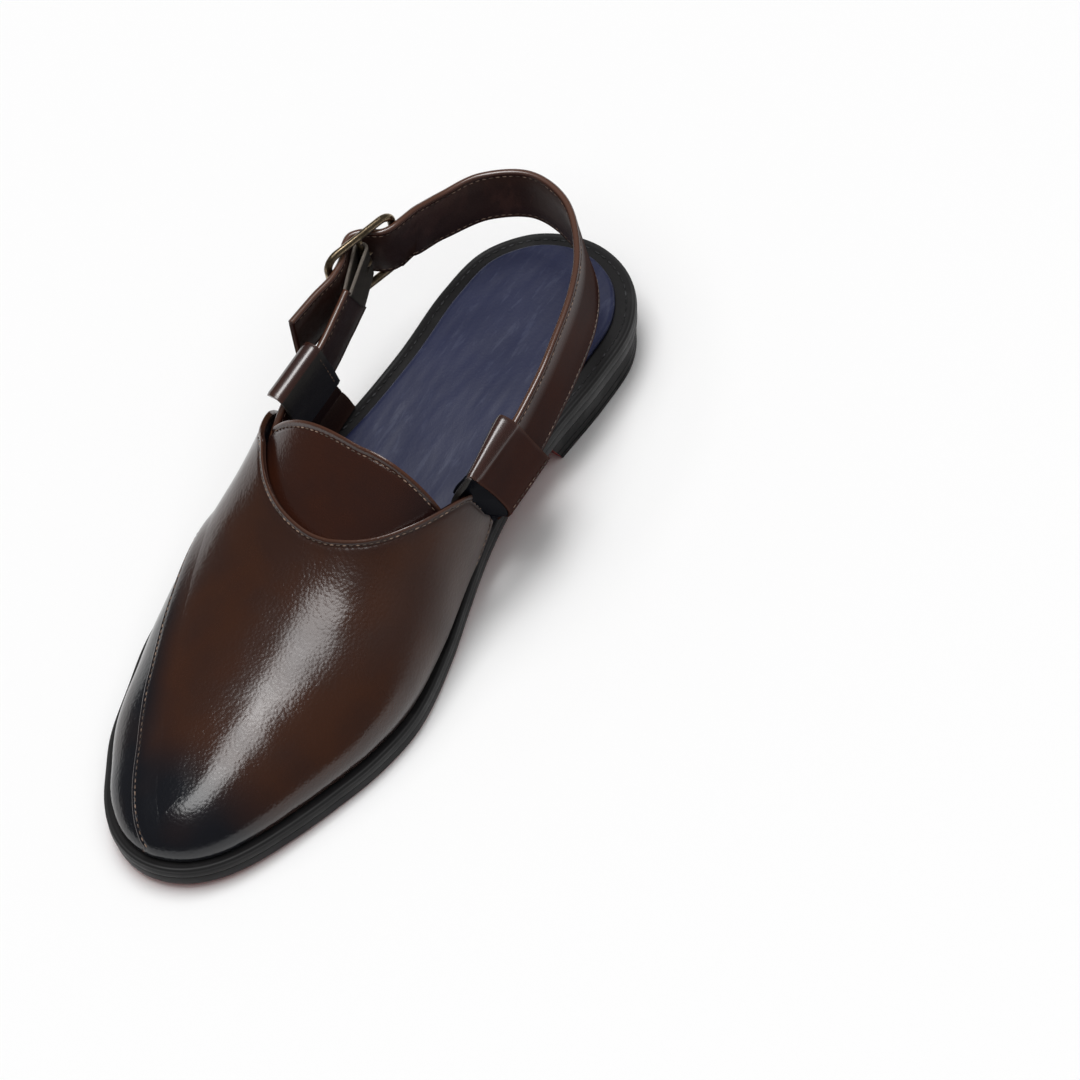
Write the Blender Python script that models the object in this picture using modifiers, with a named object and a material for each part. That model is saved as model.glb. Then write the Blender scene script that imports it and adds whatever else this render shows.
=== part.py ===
"""Peshawari chappal, the right shoe: a closed vamp with a U throat, a tongue under it, a slingback
strap through two folded side loops, and a stitched leather-and-rubber sole.

World frame, metres: toe towards -Y, heel towards +Y, +Z up, inner (medial) side at +X, outer
(lateral) side at -X, where the buckle is. The origin is on the floor under the middle of the shoe.
Stations are distances forward from the back of the heel. Sizes below are in millimetres.
"""

import math
from collections import namedtuple

import bmesh
import bpy
from mathutils import Vector

MM = 0.001
GAP = 0.35  # clearance between pieces that touch

# ---------------------------------------------------------------- driving sizes
LENGTH = 286.8
MIDDLE = 143.5  # station of the origin
SIDE_SHIFT = 1.4  # x of the sole's own centre line, because the buckle stands out on the other side
HEEL_SEAT = 23.8  # height of the midsole's top at the heel
BALL_SEAT = 9.6  # the same under the ball of the foot
SEAT_DROP = (66.0, 173.0)  # stations between which the seat comes down
SPRING_START = 197.0
TOE_SPRING = 3.4
SPRING_RUN = 90.0
OUTSOLE_THICK = 4.9
MIDSOLE_THICK = 4.4
HEEL_BREAST = (70.0, 75.5)  # station of the breast at the floor and at the top
PAD_THICK = 1.3
PAD_GROOVE = 1.4  # width of the groove round the tread pad
INSOLE_THICK = 3.0
INSOLE_INSET = 7.2
UPPER_WALL = 2.0
TONGUE_WALL = 1.6
LOOP_WALL = 1.7
LOOP_PITCH = 0.12  # height that the folded loops lose for each step forward
STRAP_WIDTH = 23.0
STRAP_THICK = 2.8
FRONT_STRAP_WIDTH = 21.0
ELASTIC_WIDTH = 17.0
ELASTIC_THICK = 1.1
ELASTIC_SPLIT = 0.6  # half the space between its two layers at the tab

SIDE_STEPS = 30  # ring points from heel to toe on each side

Outline = namedtuple("Outline", "station lateral medial")
OUTLINE = [
    Outline(0, -1.6, -1.6),
    Outline(10, -26.3, 22.2),
    Outline(25, -35.8, 30.7),
    Outline(45, -37.6, 32.6),
    Outline(77, -35.9, 32.1),
    Outline(100, -37.9, 32.5),
    Outline(120, -42.0, 35.2),
    Outline(140, -45.6, 40.3),
    Outline(160, -48.5, 46.2),
    Outline(190, -52.4, 52.4),
    Outline(210, -49.6, 51.0),
    Outline(230, -43.2, 46.3),
    Outline(250, -35.8, 40.3),
    Outline(262, -28.6, 35.8),
    Outline(272, -21.8, 30.4),
    Outline(280, -13.6, 23.3),
    Outline(LENGTH, 5.0, 5.0),
]

PAD_REAR = 144.0
PAD_LENGTH = 129.0
PAD = [
    Outline(0, -1.0, -1.0),
    Outline(6, -20.0, 19.0),
    Outline(18, -31.5, 31.0),
    Outline(34, -38.5, 38.5),
    Outline(50, -40.6, 41.0),
    Outline(70, -37.0, 39.0),
    Outline(90, -29.5, 33.5),
    Outline(106, -22.0, 27.0),
    Outline(120, -11.5, 18.5),
    Outline(PAD_LENGTH, 4.0, 4.0),
]

# The last: one row for each section. The section's foot stands at `station` on the outline, drawn in
# by `tuck`; its top lies at `ridge_at`, `ridge_x`, `ridge_z`. `lateral` and `medial` say how far each
# wall swells past its foot, and `full` how square its shoulder is (2 is an ellipse).
Section = namedtuple("Section", "station tuck ridge_at ridge_x ridge_z lateral medial full")
LAST = [
    Section(100, 1.6, 103, 0.0, 96.0, 9.0, 5.5, 2.6),
    Section(130, 1.6, 132, 2.0, 82.0, 7.4, 6.5, 2.6),
    Section(145, 2.0, 148, 4.0, 69.0, 5.9, 5.0, 2.5),
    Section(165, 2.8, 166, 5.0, 55.0, 6.2, 4.0, 2.3),
    Section(190, 3.4, 189, 5.0, 45.5, 2.0, 3.2, 2.15),
    Section(215, 3.6, 211, 5.6, 40.0, 0.9, 2.8, 2.1),
    Section(240, 3.6, 232, 7.6, 36.2, 1.4, 2.2, 2.2),
    Section(262, 3.6, 249, 10.6, 32.6, 1.0, 1.6, 2.35),
    Section(276, 3.6, 259, 12.6, 30.4, 0.9, 1.2, 2.4),
    Section(LENGTH, 3.6, 266, 14.0, 28.8, 0.8, 0.8, 2.4),
]

# The vamp's rear edge. `across` runs from -1 at the lateral foot over 0 at the ridge to 1 at the
# medial foot. It turns sharply at the two throat corners, where one run of rows ends.
Edge = namedtuple("Edge", "across station")
LATERAL_REAR = [Edge(-1.0, 136), Edge(-0.97, 126), Edge(-0.93, 121), Edge(-0.84, 124.5), Edge(-0.74, 130)]
THROAT = [
    Edge(-0.74, 130),
    Edge(-0.62, 139.2),
    Edge(-0.52, 143.8),
    Edge(-0.44, 149.5),
    Edge(-0.355, 155.3),
    Edge(-0.26, 160.2),
    Edge(-0.14, 164.0),
    Edge(-0.04, 165.2),
    Edge(0.07, 162.8),
    Edge(0.225, 157.2),
    Edge(0.35, 150.9),
    Edge(0.475, 143.6),
    Edge(0.57, 136.9),
    Edge(0.70, 126),
]
MEDIAL_REAR = [Edge(0.70, 126), Edge(0.84, 121.5), Edge(0.93, 117.5), Edge(0.97, 122), Edge(1.0, 133)]

# The tongue's free edge, level across the instep, and how far it runs forward under the throat.
TONGUE_TOP = [
    Edge(-0.565, 138.3),
    Edge(-0.40, 137.3),
    Edge(0.0, 136.8),
    Edge(0.35, 137.0),
    Edge(0.64, 137.2),
]
TONGUE_UNDERLAP = 9.0

# The folded side loops: rows go up the outer ply, over the fold and down the inner ply. A row with
# `height` 0 stands on the midsole at its own station. `rear` and `front` are the ply's two edges, and
# `skew` is how far further out its front edge stands.
Fold = namedtuple("Fold", "x height rear front skew")
MEDIAL_LOOP = [
    Fold(31.0, 0.0, 86.0, 115.0, 0.0),
    Fold(39.0, 29.0, 88.0, 116.0, 0.0),
    Fold(45.6, 37.0, 91.5, 117.0, 0.0),
    Fold(47.2, 45.0, 94.5, 118.5, 0.0),
    Fold(45.6, 56.0, 97.5, 121.5, 0.0),
    Fold(43.8, 64.5, 99.5, 124.5, 0.2),
    Fold(42.0, 68.3, 100.2, 125.4, 1.2),
    Fold(38.8, 69.8, 100.6, 126.0, 2.6),
    Fold(35.4, 68.3, 101.0, 126.3, 3.8),
    Fold(33.8, 64.5, 101.2, 126.0, 4.0),
    Fold(33.4, 56.0, 101.5, 126.3, 0.2),
    Fold(33.2, 45.0, 102.0, 129.5, 1.6),
]
LATERAL_LOOP = [
    Fold(-37.0, 0.0, 99.0, 117.0, 0.0),
    Fold(-41.8, 26.0, 99.5, 117.5, 0.0),
    Fold(-46.2, 35.0, 101.5, 117.5, 0.0),
    Fold(-47.1, 44.0, 103.5, 119.0, 0.0),
    Fold(-46.1, 54.0, 105.5, 125.0, 0.0),
    Fold(-45.2, 60.5, 106.6, 129.0, 0.0),
    Fold(-43.5, 64.3, 107.0, 130.5, 0.0),
    Fold(-40.3, 65.9, 107.2, 131.0, 0.0),
    Fold(-37.1, 64.3, 107.2, 131.0, 0.0),
    Fold(-35.5, 60.5, 107.0, 130.5, 0.0),
    Fold(-34.9, 52.0, 105.5, 129.5, 0.0),
    Fold(-34.7, 43.0, 104.0, 129.0, 0.0),
]

# The slingback strap's upper edge, from inside the medial loop back round the heel to the buckle.
# `lean` is how far its lower edge stands outwards, in degrees.
Route = namedtuple("Route", "x station top lean")
LONG_STRAP = [
    Route(40.4, 117.0, 63.0, 8.0),
    Route(38.9, 100.0, 64.2, 11.0),
    Route(36.8, 81.6, 67.4, 11.0),
    Route(33.5, 67.4, 68.7, 13.0),
    Route(26.0, 44.7, 68.5, 14.0),
    Route(15.5, 26.6, 66.1, 9.0),
    Route(0.3, 11.9, 65.3, -4.0),
    Route(-17.5, 8.3, 65.0, -8.0),
    Route(-32.5, 17.6, 65.0, -7.0),
    Route(-39.0, 31.9, 66.5, -2.0),
    Route(-41.2, 43.0, 70.2, 0.0),
]
# In the buckle the strap goes inside the rear bar, over the middle bar and inside the front bar:
# `along` is forward from the middle bar and `out` is away from the foot.
Pass = namedtuple("Pass", "along out")
STRAP_IN_BUCKLE = [
    Pass(-14.7, -3.5),
    Pass(-8.6, -1.9),
    Pass(-3.2, 3.6),
    Pass(0.0, 4.9),
    Pass(3.2, 3.8),
    Pass(8.6, -0.7),
    Pass(14.7, -3.6),
    Pass(26.0, -5.6),
    Pass(39.0, -8.4),
]
FRONT_STRAP = [
    Route(-40.0, 138.5, 47.2, 6.0),
    Route(-39.9, 133.5, 52.5, 5.0),
    Route(-40.0, 127.5, 56.8, 4.0),
    Route(-40.2, 119.0, 60.4, 3.0),
    Route(-40.3, 105.0, 62.4, 2.0),
    Route(-41.4, 93.0, 66.3, 1.0),
    Route(-42.4, 84.0, 69.6, 0.0),
]

BUCKLE_MIDDLE = (-48.7, 66.7, 61.0)  # x, station, height
BUCKLE_FORWARD = (-5.6, 24.5, 0.6)  # the way from its rear bar to its front bar: x, station, height
BUCKLE_HALF_LENGTH = 14.7
BUCKLE_HALF_HEIGHT = 13.9
BUCKLE_CORNER = 4.8
BUCKLE_WIRE = 1.5
BAR_RADIUS = 1.2
PRONG_RADIUS = 0.8
PRONG_TIP = 0.7  # share of that radius left at its tip
PRONG_PAST = 0.8  # how far the tip passes the rear wire's middle
PRONG_PLAY = 0.5  # clearance round it in the strap's hole
PRONG_LEAVES = math.radians(20)  # where on its hook the straight part starts
PRONG_CURL = math.radians(290)  # how far the hook goes round the bar
PRONG_SLOT = (12.0, 2.6, 9.0)  # the gap for it in the elastic: along, up, out
PRONG_SLOT_AT = -0.6  # how far forward of the middle bar the gap's middle is
ANKLE = (0.0, 0.05, 0.0)  # inside the strap's round, in metres: the strap's outer face looks away

COLOURS = {
    "outsole": (0.42, 0.05, 0.035, 0.45, 0.0),
    "tread_pad": (0.03, 0.022, 0.018, 0.7, 0.0),
    "heel": (0.035, 0.035, 0.034, 0.5, 0.0),
    "midsole": (0.035, 0.035, 0.034, 0.45, 0.0),
    "insole": (0.022, 0.026, 0.075, 0.5, 0.0),
    "upper": (0.11, 0.035, 0.018, 0.25, 0.0),
    "tongue": (0.10, 0.032, 0.017, 0.28, 0.0),
    "loop_medial": (0.13, 0.042, 0.021, 0.27, 0.0),
    "loop_lateral": (0.13, 0.042, 0.021, 0.27, 0.0),
    "strap_long": (0.085, 0.028, 0.018, 0.3, 0.0),
    "strap_front": (0.085, 0.028, 0.018, 0.3, 0.0),
    "elastic": (0.05, 0.047, 0.04, 0.85, 0.0),
    "buckle_frame": (0.30, 0.23, 0.13, 0.38, 1.0),
    "buckle_prong": (0.30, 0.23, 0.13, 0.38, 1.0),
}


# ---------------------------------------------------------------- curves and surfaces
def curve_value(keys, values, key):
    """Smooth curve through the points of a short table, read at `key`."""
    count = len(keys)
    index = max(0, min(count - 2, sum(1 for known in keys if known <= key) - 1))

    def slope(at):
        if at == 0:
            return (values[1] - values[0]) / (keys[1] - keys[0])
        if at == count - 1:
            return (values[-1] - values[-2]) / (keys[-1] - keys[-2])
        before = keys[at] - keys[at - 1]
        after = keys[at + 1] - keys[at]
        rise_before = (values[at] - values[at - 1]) / before
        rise_after = (values[at + 1] - values[at]) / after
        return (rise_before * after + rise_after * before) / (before + after)

    span = keys[index + 1] - keys[index]
    part = (key - keys[index]) / span
    start = values[index] * (1 + 2 * part) * (1 - part) ** 2
    end = values[index + 1] * part * part * (3 - 2 * part)
    leave = slope(index) * part * (1 - part) ** 2
    arrive = slope(index + 1) * part * part * (1 - part)
    return start + end + span * (leave - arrive)


def column(rows, name):
    return [getattr(row, name) for row in rows]


def ease(part):
    part = max(0.0, min(1.0, part))
    return part * part * (3 - 2 * part)


def turn_of(station, length=LENGTH):
    """Half-turn share of a station: equal steps of it crowd together at the round heel and toe."""
    return math.acos(max(-1.0, min(1.0, 1 - 2 * station / length))) / math.pi


def station_of(turn, length=LENGTH):
    return length * (1 - math.cos(math.pi * turn)) / 2


def outline_point(rows, side, turn, inset=0.0):
    """(x, station, normal x, normal station) on one side of an outline, drawn in by `inset`."""
    length = rows[-1].station
    keys = [turn_of(row.station, length) for row in rows]
    widths = column(rows, "medial" if side > 0 else "lateral")
    near = 0.001

    def at(share):
        return curve_value(keys, widths, share), station_of(share, length)

    before = at(max(0.0, turn - near))
    after = at(min(1.0, turn + near))
    run_x = after[0] - before[0]
    run_station = after[1] - before[1]
    if turn < near:
        run_x, run_station = side, 0.0
    if turn > 1 - near:
        run_x, run_station = -side, 0.0
    size = math.hypot(run_x, run_station)
    normal_x = side * run_station / size
    normal_station = -side * run_x / size
    x, station = at(turn)
    return x - inset * normal_x, station - inset * normal_station, normal_x, normal_station


def seat_height(station):
    """Top of the midsole: high at the heel, down through the waist, then up at the toe."""
    start, end = SEAT_DROP
    drop = (HEEL_SEAT - BALL_SEAT) * ease((station - start) / (end - start))
    spring = TOE_SPRING * max(0.0, (station - SPRING_START) / SPRING_RUN) ** 2
    return HEEL_SEAT - drop + spring


def sole_under(station):
    """Underside of the outsole: on the floor from the end of the drop to the start of the spring."""
    return seat_height(station) - BALL_SEAT


def place(x, station, height):
    return Vector(((x + SIDE_SHIFT) * MM, (MIDDLE - station) * MM, height * MM))


def ridge_slope(keys, turn):
    """Rise of the last's ridge for each millimetre forward; each section's top is tilted by it."""
    near = 0.004
    before = max(0.0, turn - near)
    after = min(1.0, turn + near)
    rises = column(LAST, "ridge_z")
    stations = column(LAST, "ridge_at")
    rise = curve_value(keys, rises, after) - curve_value(keys, rises, before)
    return rise / (curve_value(keys, stations, after) - curve_value(keys, stations, before))


def last_point(station, across):
    """Point of the upper's outer face, in millimetres, as (x, station, height)."""
    side = 1 if across >= 0 else -1
    turn = turn_of(station)
    keys = [turn_of(row.station) for row in LAST]
    tuck, ridge_at, ridge_x, ridge_z, full = (
        curve_value(keys, column(LAST, name), turn)
        for name in ("tuck", "ridge_at", "ridge_x", "ridge_z", "full")
    )
    swell = curve_value(keys, column(LAST, "medial" if side > 0 else "lateral"), turn)
    foot_x, foot_at, out_x, out_at = outline_point(OUTLINE, side, turn, tuck)
    foot_z = seat_height(foot_at) + GAP
    angle = (1 - abs(across)) * math.pi / 2
    inward = 1 - max(0.0, math.cos(angle)) ** (2 / full)
    upward = max(0.0, math.sin(angle)) ** (2 / full)
    bulge = swell * math.sin(math.pi * min(1.0, upward) ** 0.8)
    at = foot_at + (ridge_at - foot_at) * inward + out_at * bulge
    top_z = ridge_z + ridge_slope(keys, turn) * (at - ridge_at)
    return (
        foot_x + (ridge_x - foot_x) * inward + out_x * bulge,
        at,
        foot_z + (top_z - foot_z) * upward,
    )


def last_inside(station, across, depth):
    """Point `depth` inside the upper's outer face, as a world vector."""
    step = 0.01
    here = place(*last_point(station, across))
    fore = place(*last_point(min(station + 1.0, LENGTH), across))
    aft = place(*last_point(station - 1.0, across))
    left = place(*last_point(station, max(-1.0, across - step)))
    right = place(*last_point(station, min(1.0, across + step)))
    outward = (right - left).cross(fore - aft).normalized()
    if outward.dot(here - Vector((0.0, here.y, 0.0))) < 0:
        outward.negate()
    return here - outward * depth * MM


# ---------------------------------------------------------------- objects
def new_object(name, mesh, collection):
    shape = bpy.data.objects.new(name, mesh)
    collection.objects.link(shape)
    if name in COLOURS:
        red, green, blue, roughness, metallic = COLOURS[name]
        material = bpy.data.materials.new(name)
        material.use_nodes = True
        finish = material.node_tree.nodes["Principled BSDF"]
        finish.inputs["Base Color"].default_value = (red, green, blue, 1.0)
        finish.inputs["Roughness"].default_value = roughness
        finish.inputs["Metallic"].default_value = metallic
        mesh.materials.append(material)
        mesh.shade_smooth()
        mesh.set_sharp_from_angle(angle=math.radians(40))
    return shape


def mesh_from(name, build):
    """A mesh that `build` fills as a bmesh, with its faces turned outwards."""
    mesh = bpy.data.meshes.new(name)
    work = bmesh.new()
    build(work)
    bmesh.ops.remove_doubles(work, verts=work.verts, dist=0.02 * MM)
    bmesh.ops.recalc_face_normals(work, faces=work.faces)
    work.to_mesh(mesh)
    work.free()
    return mesh


def loft(work, rings, closed=True):
    """Quads between successive rings of equally many points."""
    loops = [[work.verts.new(point) for point in ring] for ring in rings]
    count = len(loops[0])
    for lower, upper in zip(loops[:-1], loops[1:]):
        for index in range(count if closed else count - 1):
            after = (index + 1) % count
            work.faces.new((lower[index], lower[after], upper[after], upper[index]))
    return loops


def cap_across(work, ring):
    """Closes a ring whose first half is the lateral side, heel to toe, and the rest the way back."""
    count = len(ring)
    half = count // 2
    work.faces.new((ring[0], ring[1], ring[count - 1]))
    for index in range(1, half - 1):
        work.faces.new((ring[index], ring[index + 1], ring[count - index - 1], ring[count - index]))
    work.faces.new((ring[half - 1], ring[half], ring[half + 1]))


def ring_points(rows, inset, height, offset=0.0, steps=SIDE_STEPS):
    """World points round an outline; `height` is a function of the station."""
    points = []
    for side, order in ((-1, range(steps + 1)), (1, range(steps - 1, 0, -1))):
        for step in order:
            x, station, _, _ = outline_point(rows, side, step / steps, inset)
            points.append(place(x, station + offset, height(station + offset)))
    return points


def plate(name, collection, rows, profile, offset=0.0):
    """A plate with an outline's shape. Each profile row is (inset, height function), bottom first."""

    def build(work):
        rings = [ring_points(rows, inset, height, offset) for inset, height in profile]
        loops = loft(work, rings)
        cap_across(work, loops[0])
        cap_across(work, loops[-1])

    return new_object(name, mesh_from(name, build), collection)


def above(base, rise):
    """The height function `base`, raised."""
    return lambda station: base(station) + rise


def cut(target, cutter, operation="DIFFERENCE"):
    change = target.modifiers.new("cut by " + cutter.name, "BOOLEAN")
    change.operation = operation
    change.solver = "EXACT"
    change.object = cutter
    cutter.hide_render = True
    cutter.display_type = "WIRE"


def sheet(name, collection, grid, thickness):
    """A wall of `thickness` behind a grid of points of its outer face."""

    def build(work):
        loft(work, grid, closed=False)

    shape = new_object(name, mesh_from(name, build), collection)
    wall = shape.modifiers.new("wall", "SOLIDIFY")
    wall.thickness = thickness * MM
    wall.offset = -1.0
    wall.use_even_offset = False
    return shape


# ---------------------------------------------------------------- the sole
def make_sole(parts, cutters):
    outsole = plate(
        "outsole",
        parts,
        OUTLINE,
        [
            (1.1, sole_under),
            (0.6, above(sole_under, 0.7)),
            (0.5, above(sole_under, OUTSOLE_THICK)),
        ],
    )
    recess = plate(
        "pad_recess",
        cutters,
        PAD,
        [
            (-PAD_GROOVE, above(sole_under, -3.0)),
            (-PAD_GROOVE, above(sole_under, PAD_THICK + GAP)),
        ],
        PAD_REAR,
    )
    cut(outsole, recess)
    plate(
        "tread_pad",
        parts,
        PAD,
        [(0.0, sole_under), (0.0, above(sole_under, PAD_THICK))],
        PAD_REAR,
    )
    underside = above(sole_under, OUTSOLE_THICK + GAP)
    plate(
        "midsole",
        parts,
        OUTLINE,
        [
            (0.6, underside),
            (0.0, above(underside, 0.8)),
            (0.0, above(seat_height, -1.4)),
            (1.3, seat_height),
        ],
    )
    make_heel(parts)


def make_heel(parts):
    """A block under the outsole's heel, narrower at the floor, with a slanted breast."""
    half_steps = 16

    def height(share, station):
        return share * (sole_under(station) - GAP)

    def build(work):
        rings = []
        for share, inset in ((0.0, 3.0), (0.08, 2.2), (1.0, 1.2)):
            breast = HEEL_BREAST[0] + (HEEL_BREAST[1] - HEEL_BREAST[0]) * share
            last_turn = turn_of(breast)
            ring = []
            for side, order in ((-1, range(half_steps + 1)), (1, range(half_steps, 0, -1))):
                for step in order:
                    turn = last_turn * step / half_steps
                    x, station, _, _ = outline_point(OUTLINE, side, turn, inset)
                    ring.append(place(x, station, height(share, station)))
            rings.append(ring)
        loops = loft(work, rings)
        for ring in (loops[0], loops[-1]):
            count = len(ring)
            work.faces.new((ring[0], ring[1], ring[count - 1]))
            for index in range(1, half_steps):
                work.faces.new(
                    (ring[index], ring[index + 1], ring[count - index - 1], ring[count - index])
                )

    new_object("heel", mesh_from("heel", build), parts)


def make_insole(parts):
    top = INSOLE_THICK + GAP
    plate(
        "insole",
        parts,
        OUTLINE,
        [
            (INSOLE_INSET + 0.4, above(seat_height, GAP)),
            (INSOLE_INSET, above(seat_height, GAP + 0.9)),
            (INSOLE_INSET + 0.5, above(seat_height, top - 0.7)),
            (INSOLE_INSET + 2.2, above(seat_height, top)),
        ],
    )


# ---------------------------------------------------------------- upper and tongue
def run_across(rows, steps):
    """Evenly spaced places along one run of edge rows, as (across, station)."""
    keys = column(rows, "across")
    stations = column(rows, "station")
    start, end = keys[0], keys[-1]
    places = []
    for step in range(steps + 1):
        across = start + (end - start) * step / steps
        places.append(Edge(across, curve_value(keys, stations, across)))
    return places


def make_upper(parts):
    """The vamp: each column runs forward from its rear edge, and the last ones meet at the toe."""
    lengthwise = 20
    edge = run_across(LATERAL_REAR, 7)[:-1] + run_across(THROAT, 24) + run_across(MEDIAL_REAR, 7)[1:]
    grid = []
    for row in range(lengthwise + 1):
        share = row / lengthwise
        line = []
        for column_at, rim in enumerate(edge):
            start = turn_of(rim.station)
            station = station_of(start + (1 - start) * share)
            even = 2 * column_at / (len(edge) - 1) - 1
            across = rim.across + (even - rim.across) * share
            line.append(place(*last_point(station, across)))
        grid.append(line)
    sheet("upper", parts, grid, UPPER_WALL)


def make_tongue(parts):
    """A band under the throat: its free edge crosses the instep, its front lies under the vamp."""
    lengthwise = 8
    depth = UPPER_WALL + 1.1
    throat_keys = column(THROAT, "across")
    throat_stations = column(THROAT, "station")
    grid = []
    for row in range(lengthwise + 1):
        line = []
        for rim in run_across(TONGUE_TOP, 18):
            throat = curve_value(throat_keys, throat_stations, rim.across)
            front = throat + TONGUE_UNDERLAP
            station = rim.station + (front - rim.station) * row / lengthwise
            line.append(last_inside(station, rim.across, depth))
        grid.append(line)
    sheet("tongue", parts, grid, TONGUE_WALL)


# ---------------------------------------------------------------- loops and straps
def make_loop(parts, name, rows):
    """A leather band from the sole up over the strap and down inside it."""
    steps = 3 * (len(rows) - 1)
    keys = list(range(len(rows)))
    across = 6
    grid = []
    for step in range(steps + 1):
        key = step * keys[-1] / steps
        x = curve_value(keys, column(rows, "x"), key)
        height = curve_value(keys, column(rows, "height"), key)
        rear = curve_value(keys, column(rows, "rear"), key)
        front = curve_value(keys, column(rows, "front"), key)
        skew = curve_value(keys, column(rows, "skew"), key)
        line = []
        for place_across in range(across + 1):
            station = rear + (front - rear) * place_across / across
            foot = seat_height(station) + GAP
            tilt = LOOP_PITCH * ((rear + front) / 2 - station)
            if step <= 3:
                share = step / 3
                level = foot + (rows[1].height + tilt - foot) * ease(share) ** 0.8
            else:
                level = height + tilt
            line.append(place(x + skew * place_across / across, station, level))
        grid.append(line)
    if rows[0].x > 0:
        grid = [line[::-1] for line in grid]
    sheet(name, parts, grid, LOOP_WALL)


def ribbon(work, centres, widthways, width, thickness, square=True):
    """A flat strip swept along `centres`; `widthways` gives its width's direction at each.

    A strip that isn't square keeps those directions where they slant to its run, as elastic may.
    """
    rings = []
    count = len(centres)
    for index in range(count):
        before = centres[max(0, index - 1)]
        after = centres[min(count - 1, index + 1)]
        along = (after - before).normalized()
        wide = widthways[index].copy()
        if square:
            wide -= along * wide.dot(along)
        wide.normalize()
        thick = along.cross(wide).normalized()
        half_wide = wide * width / 2 * MM
        half_thick = thick * thickness / 2 * MM
        middle = centres[index]
        rings.append(
            [
                middle + half_wide + half_thick,
                middle + half_wide - half_thick,
                middle - half_wide - half_thick,
                middle - half_wide + half_thick,
            ]
        )
    loops = loft(work, rings)
    work.faces.new(loops[0])
    work.faces.new(loops[-1])


def buckle_axes():
    """Middle, forward, outward and upward directions of the buckle, as world vectors."""
    middle = place(*BUCKLE_MIDDLE)
    forward = Vector((BUCKLE_FORWARD[0], -BUCKLE_FORWARD[1], BUCKLE_FORWARD[2])).normalized()
    upward = (Vector((0, 0, 1)) - forward * forward.z).normalized()
    outward = forward.cross(upward)
    return middle, forward, outward, upward


def in_buckle(along, out, up=0.0):
    middle, forward, outward, upward = buckle_axes()
    return middle + (forward * along + outward * out + upward * up) * MM


def strap_centres(rows, width):
    """Centre line and width directions of a strap whose upper edge follows `rows`."""
    keys = list(range(len(rows)))
    steps = (len(rows) - 1) * 4
    tops = []
    leans = []
    for step in range(steps + 1):
        key = step / 4
        tops.append(
            place(
                curve_value(keys, column(rows, "x"), key),
                curve_value(keys, column(rows, "station"), key),
                curve_value(keys, column(rows, "top"), key),
            )
        )
        leans.append(math.radians(curve_value(keys, column(rows, "lean"), key)))
    ankle = Vector(ANKLE)
    centres = []
    wides = []
    for index, top in enumerate(tops):
        along = (tops[min(steps, index + 1)] - tops[max(0, index - 1)]).normalized()
        upright = (Vector((0, 0, 1)) - along * along.z).normalized()
        outward = along.cross(upright)
        if outward.dot(Vector((top.x - ankle.x, top.y - ankle.y, 0.0))) < 0:
            outward.negate()
        down = outward * math.sin(leans[index]) - upright * math.cos(leans[index])
        centres.append(top + down * width / 2 * MM)
        wides.append(down)
    return centres, wides


def make_long_strap(parts, cutters):
    centres, wides = strap_centres(LONG_STRAP, STRAP_WIDTH)
    downward = -buckle_axes()[3]
    keys = column(STRAP_IN_BUCKLE, "along")
    steps = 30
    for step in range(steps + 1):
        along = keys[0] + (keys[-1] - keys[0]) * step / steps
        centres.append(in_buckle(along, curve_value(keys, column(STRAP_IN_BUCKLE, "out"), along)))
        wides.append(downward)

    def build(work):
        ribbon(work, centres, wides, STRAP_WIDTH, STRAP_THICK)

    strap = new_object("strap_long", mesh_from("strap_long", build), parts)
    cut(strap, pin_cutter(cutters))


def prong_line():
    """Where the prong's straight part leaves its hook, and where its tip lies on the rear wire."""
    hook = BAR_RADIUS + GAP + PRONG_RADIUS
    start = in_buckle(-hook * math.cos(PRONG_LEAVES), hook * math.sin(PRONG_LEAVES))
    tip = in_buckle(-BUCKLE_HALF_LENGTH - PRONG_PAST, BUCKLE_WIRE + GAP + PRONG_RADIUS * PRONG_TIP)
    return start, tip


def pin_cutter(cutters):
    """The hole that the prong's straight part passes through."""
    start, tip = prong_line()
    return rod("pin_hole", cutters, start, start.lerp(tip, 0.8), PRONG_RADIUS + PRONG_PLAY)


def rod(name, collection, start, end, radius):
    mesh = bpy.data.meshes.new(name)
    work = bmesh.new()
    length = (end - start).length
    bmesh.ops.create_cone(
        work, cap_ends=True, segments=12, radius1=radius * MM, radius2=radius * MM, depth=length
    )
    turn = Vector((0, 0, 1)).rotation_difference(end - start).to_matrix().to_4x4()
    bmesh.ops.transform(work, matrix=turn, verts=work.verts)
    bmesh.ops.translate(work, vec=(start + end) / 2, verts=work.verts)
    work.to_mesh(mesh)
    work.free()
    return new_object(name, mesh, collection)


def make_front_strap(parts):
    centres, wides = strap_centres(FRONT_STRAP, FRONT_STRAP_WIDTH)

    def build(work):
        ribbon(work, centres, wides, FRONT_STRAP_WIDTH, STRAP_THICK)

    new_object("strap_front", mesh_from("strap_front", build), parts)
    return centres[-1], centres[-1] - centres[-2], wides[-1]


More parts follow.
